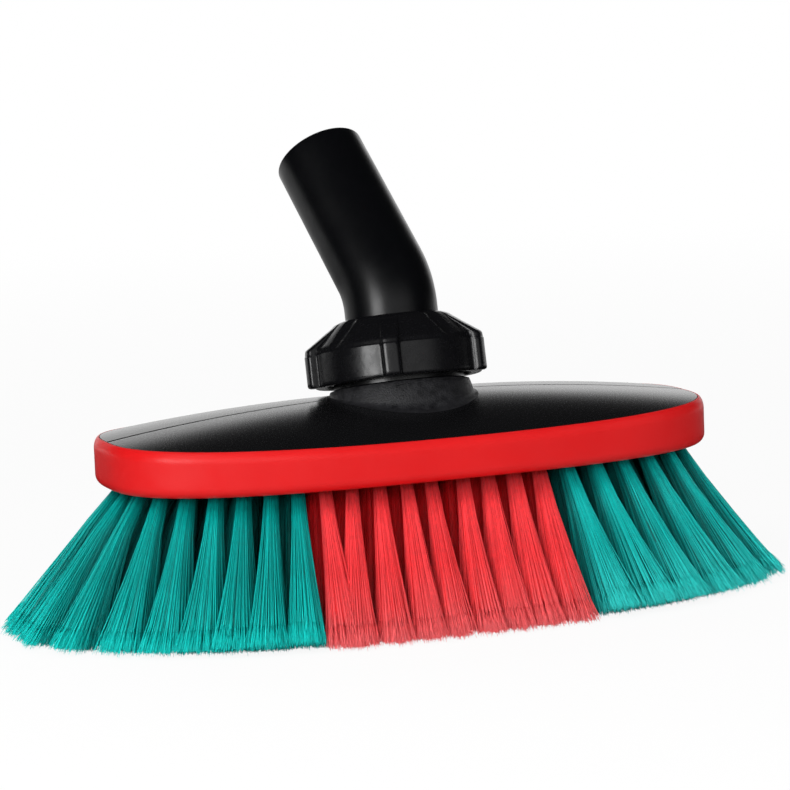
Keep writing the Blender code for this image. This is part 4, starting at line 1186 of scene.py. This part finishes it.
# place, aim, size and watts; only the glow panel shows in reflections, the others are as if behind cloth
lamps = {
    "skyPanel": ((-0.3, -0.6, 1.9), (0, 0, 0), (2.2, 2.2), 9.0),
    "keyPanel": ((-0.75, -0.55, 0.95), (0, 0, 0.06), (0.55, 0.55), 6.6),
    "frontPanel": ((-0.35, -1.05, 0.38), (0, 0, 0.04), (0.9, 0.4), 5.8),
    "fillPanel": ((0.85, -0.65, 0.45), (0, 0, 0.05), (0.5, 0.7), 1.9),
    "rimPanel": ((0.1, 0.9, 0.8), (0, 0, 0.07), (0.9, 0.4), 2.6),
    "glowPanel": ((-0.975, -0.669, 0.30), (0, 0, 0.10), (0.50, 0.40), 4.4),
}


def addStep(owner, value, limits, results):
    return addRange(owner, value, limits, results, "SMOOTHSTEP")


def addMath(owner, kind, first, second):
    node = addNode(owner, "Math", operation=kind)
    for socket, value in zip(node.inputs, (first, second)):
        setSocket(owner, socket, value)
    return node.outputs[0]


def addVector(owner, kind, first, second=(0, 0, 0)):
    node = addNode(owner, "VectorMath", operation=kind, Vector=first)
    node.inputs[1].default_value = second
    return node.outputs["Value"]


# floor: white paper with the brush's shadow. It shows white to the camera, and to glossy and clear rays white
# behind the brush and dark before it
def makeFloor():
    s = studio
    x, y = np.meshgrid(*[np.linspace(-s["floorHalf"], s["floorHalf"], 9)] * 2)
    mesh = bpy.data.meshes.new("studioFloor")
    points = np.stack((x, y, np.full_like(x, s["floorZ"])), -1).reshape(-1, 3)
    mesh.from_pydata(points.tolist(), [], gridFaces(9, 9, closeColumns=False).tolist())
    floor = addObject("studioFloor", mesh)
    paper = newMaterial("studioPaper", s["paper"], 0.9)
    rays = addNode(paper, "LightPath").outputs
    place = addNode(paper, "TexCoord").outputs["Object"]
    behind = addVector(paper, "DOT_PRODUCT", place, s["ahead"])
    behind = addStep(paper, behind, s["floorEdge"], (s["floorDark"], 1.0))
    white = addStep(paper, addVector(paper, "LENGTH", place), s["floorFade"], s["floorWhite"])
    shown = addMath(paper, "MULTIPLY", rays["Is Camera Ray"], white)
    mirrored = addMath(paper, "MAXIMUM", rays["Is Glossy Ray"], rays["Is Transmission Ray"])
    glow = addNode(paper, "Emission", Strength=addMath(paper, "MAXIMUM", rays["Is Camera Ray"], behind))
    blend = addNode(paper, "MixShader", Fac=addMath(paper, "MAXIMUM", shown, mirrored))
    nodes = paper.node_tree.nodes
    setSocket(paper, blend.inputs[1], nodes["Principled BSDF"].outputs[0])
    setSocket(paper, blend.inputs[2], glow.outputs[0])
    setSocket(paper, nodes["Material Output"].inputs["Surface"], blend.outputs[0])
    mesh.materials.append(paper)


# world: white to the camera; glossy and clear rays see a low white band behind the brush, a low grey one at the
# front and a dark studio everywhere else, and all other rays get the plain fill
def makeWorld():
    s = studio
    world = bpy.data.worlds.new("studioWorld")
    bpy.context.scene.world = world
    world.use_nodes = True
    rays = addNode(world, "LightPath").outputs
    way = addNode(world, "TexCoord").outputs["Generated"]
    height = addVector(world, "DOT_PRODUCT", way, (0, 0, 1))
    ahead = addVector(world, "DOT_PRODUCT", way, s["ahead"])
    seen = s["glossDark"]
    for side in ("back", "front"):
        low = addStep(world, height, s[side + "Top"], (s[side + "Glow"], 0.0))
        band = addMath(world, "MULTIPLY", low, addStep(world, ahead, *s[side + "Edge"]))
        seen = addMath(world, "MAXIMUM", band, seen)
    mirrored = addMath(world, "MAXIMUM", rays["Is Glossy Ray"], rays["Is Transmission Ray"])
    glossy = addNode(world, "Mix", Factor=mirrored, A=s["worldFill"], B=seen)
    strength = addMath(world, "MAXIMUM", glossy.outputs["Result"], rays["Is Camera Ray"])
    sky = world.node_tree.nodes["Background"]
    sky.inputs["Color"].default_value = (1, 1, 1, 1)
    setSocket(world, sky.inputs["Strength"], strength)


def addLamp(name, place, aim, size, watts):
    lamp = bpy.data.lights.new(name, "AREA")
    lamp.shape = "RECTANGLE"
    lamp.size, lamp.size_y = size
    lamp.energy = watts
    holder = addObject(name, lamp)
    holder.location = place
    holder.rotation_mode = "QUATERNION"
    holder.rotation_quaternion = (Vector(aim) - Vector(place)).to_track_quat("-Z", "Y")
    holder.visible_glossy = name == "glowPanel"


makeFloor()
makeWorld()
for name, values in lamps.items():
    addLamp(name, *values)

photoView = {
    "focal": 3567.05,       # in pixels of a 790 pixel frame
    "distance": 1.368316,
    "elevationDeg": 8.937,
    "azimuthDeg": 20.638,
    "rollDeg": 2.228,
    "shiftX": 10.066,
    "shiftY": 66.204,
    "frame": 790,
    "sensor": 36,           # in millimetres
    "clipEnd": 30,
}


# the camera stands back from the bumper's foot along the view direction, rolled, and aims a few pixels off it
def makeCamera():
    p = photoView
    el, az, roll = (math.radians(p[k]) for k in ("elevationDeg", "azimuthDeg", "rollDeg"))
    origin = Vector((0, 0, head["bumperZ"]))
    forward = Vector((math.sin(az) * math.cos(el), math.cos(az) * math.cos(el), -math.sin(el)))
    right = Vector((math.cos(az), -math.sin(az), 0))
    up = right.cross(forward)
    place = origin - forward * p["distance"]
    rolledRight = math.cos(roll) * right - math.sin(roll) * up
    rolledUp = math.sin(roll) * right + math.cos(roll) * up
    step = p["distance"] / p["focal"]
    target = origin - rolledRight * p["shiftX"] * step + rolledUp * p["shiftY"] * step
    ahead = (target - place).normalized()
    side = ahead.cross(rolledUp).normalized()
    turned = Matrix((side, side.cross(ahead), -ahead)).transposed().to_4x4()
    turned.translation = place
    camera = addObject("photoCamera", bpy.data.cameras.new("photoCamera"))
    camera.matrix_world = turned
    camera.data.sensor_width = p["sensor"]
    camera.data.lens = p["focal"] * p["sensor"] / p["frame"]
    camera.data.clip_end = p["clipEnd"]
    bpy.context.scene.camera = camera


makeCamera()
print("floor, light and camera set")
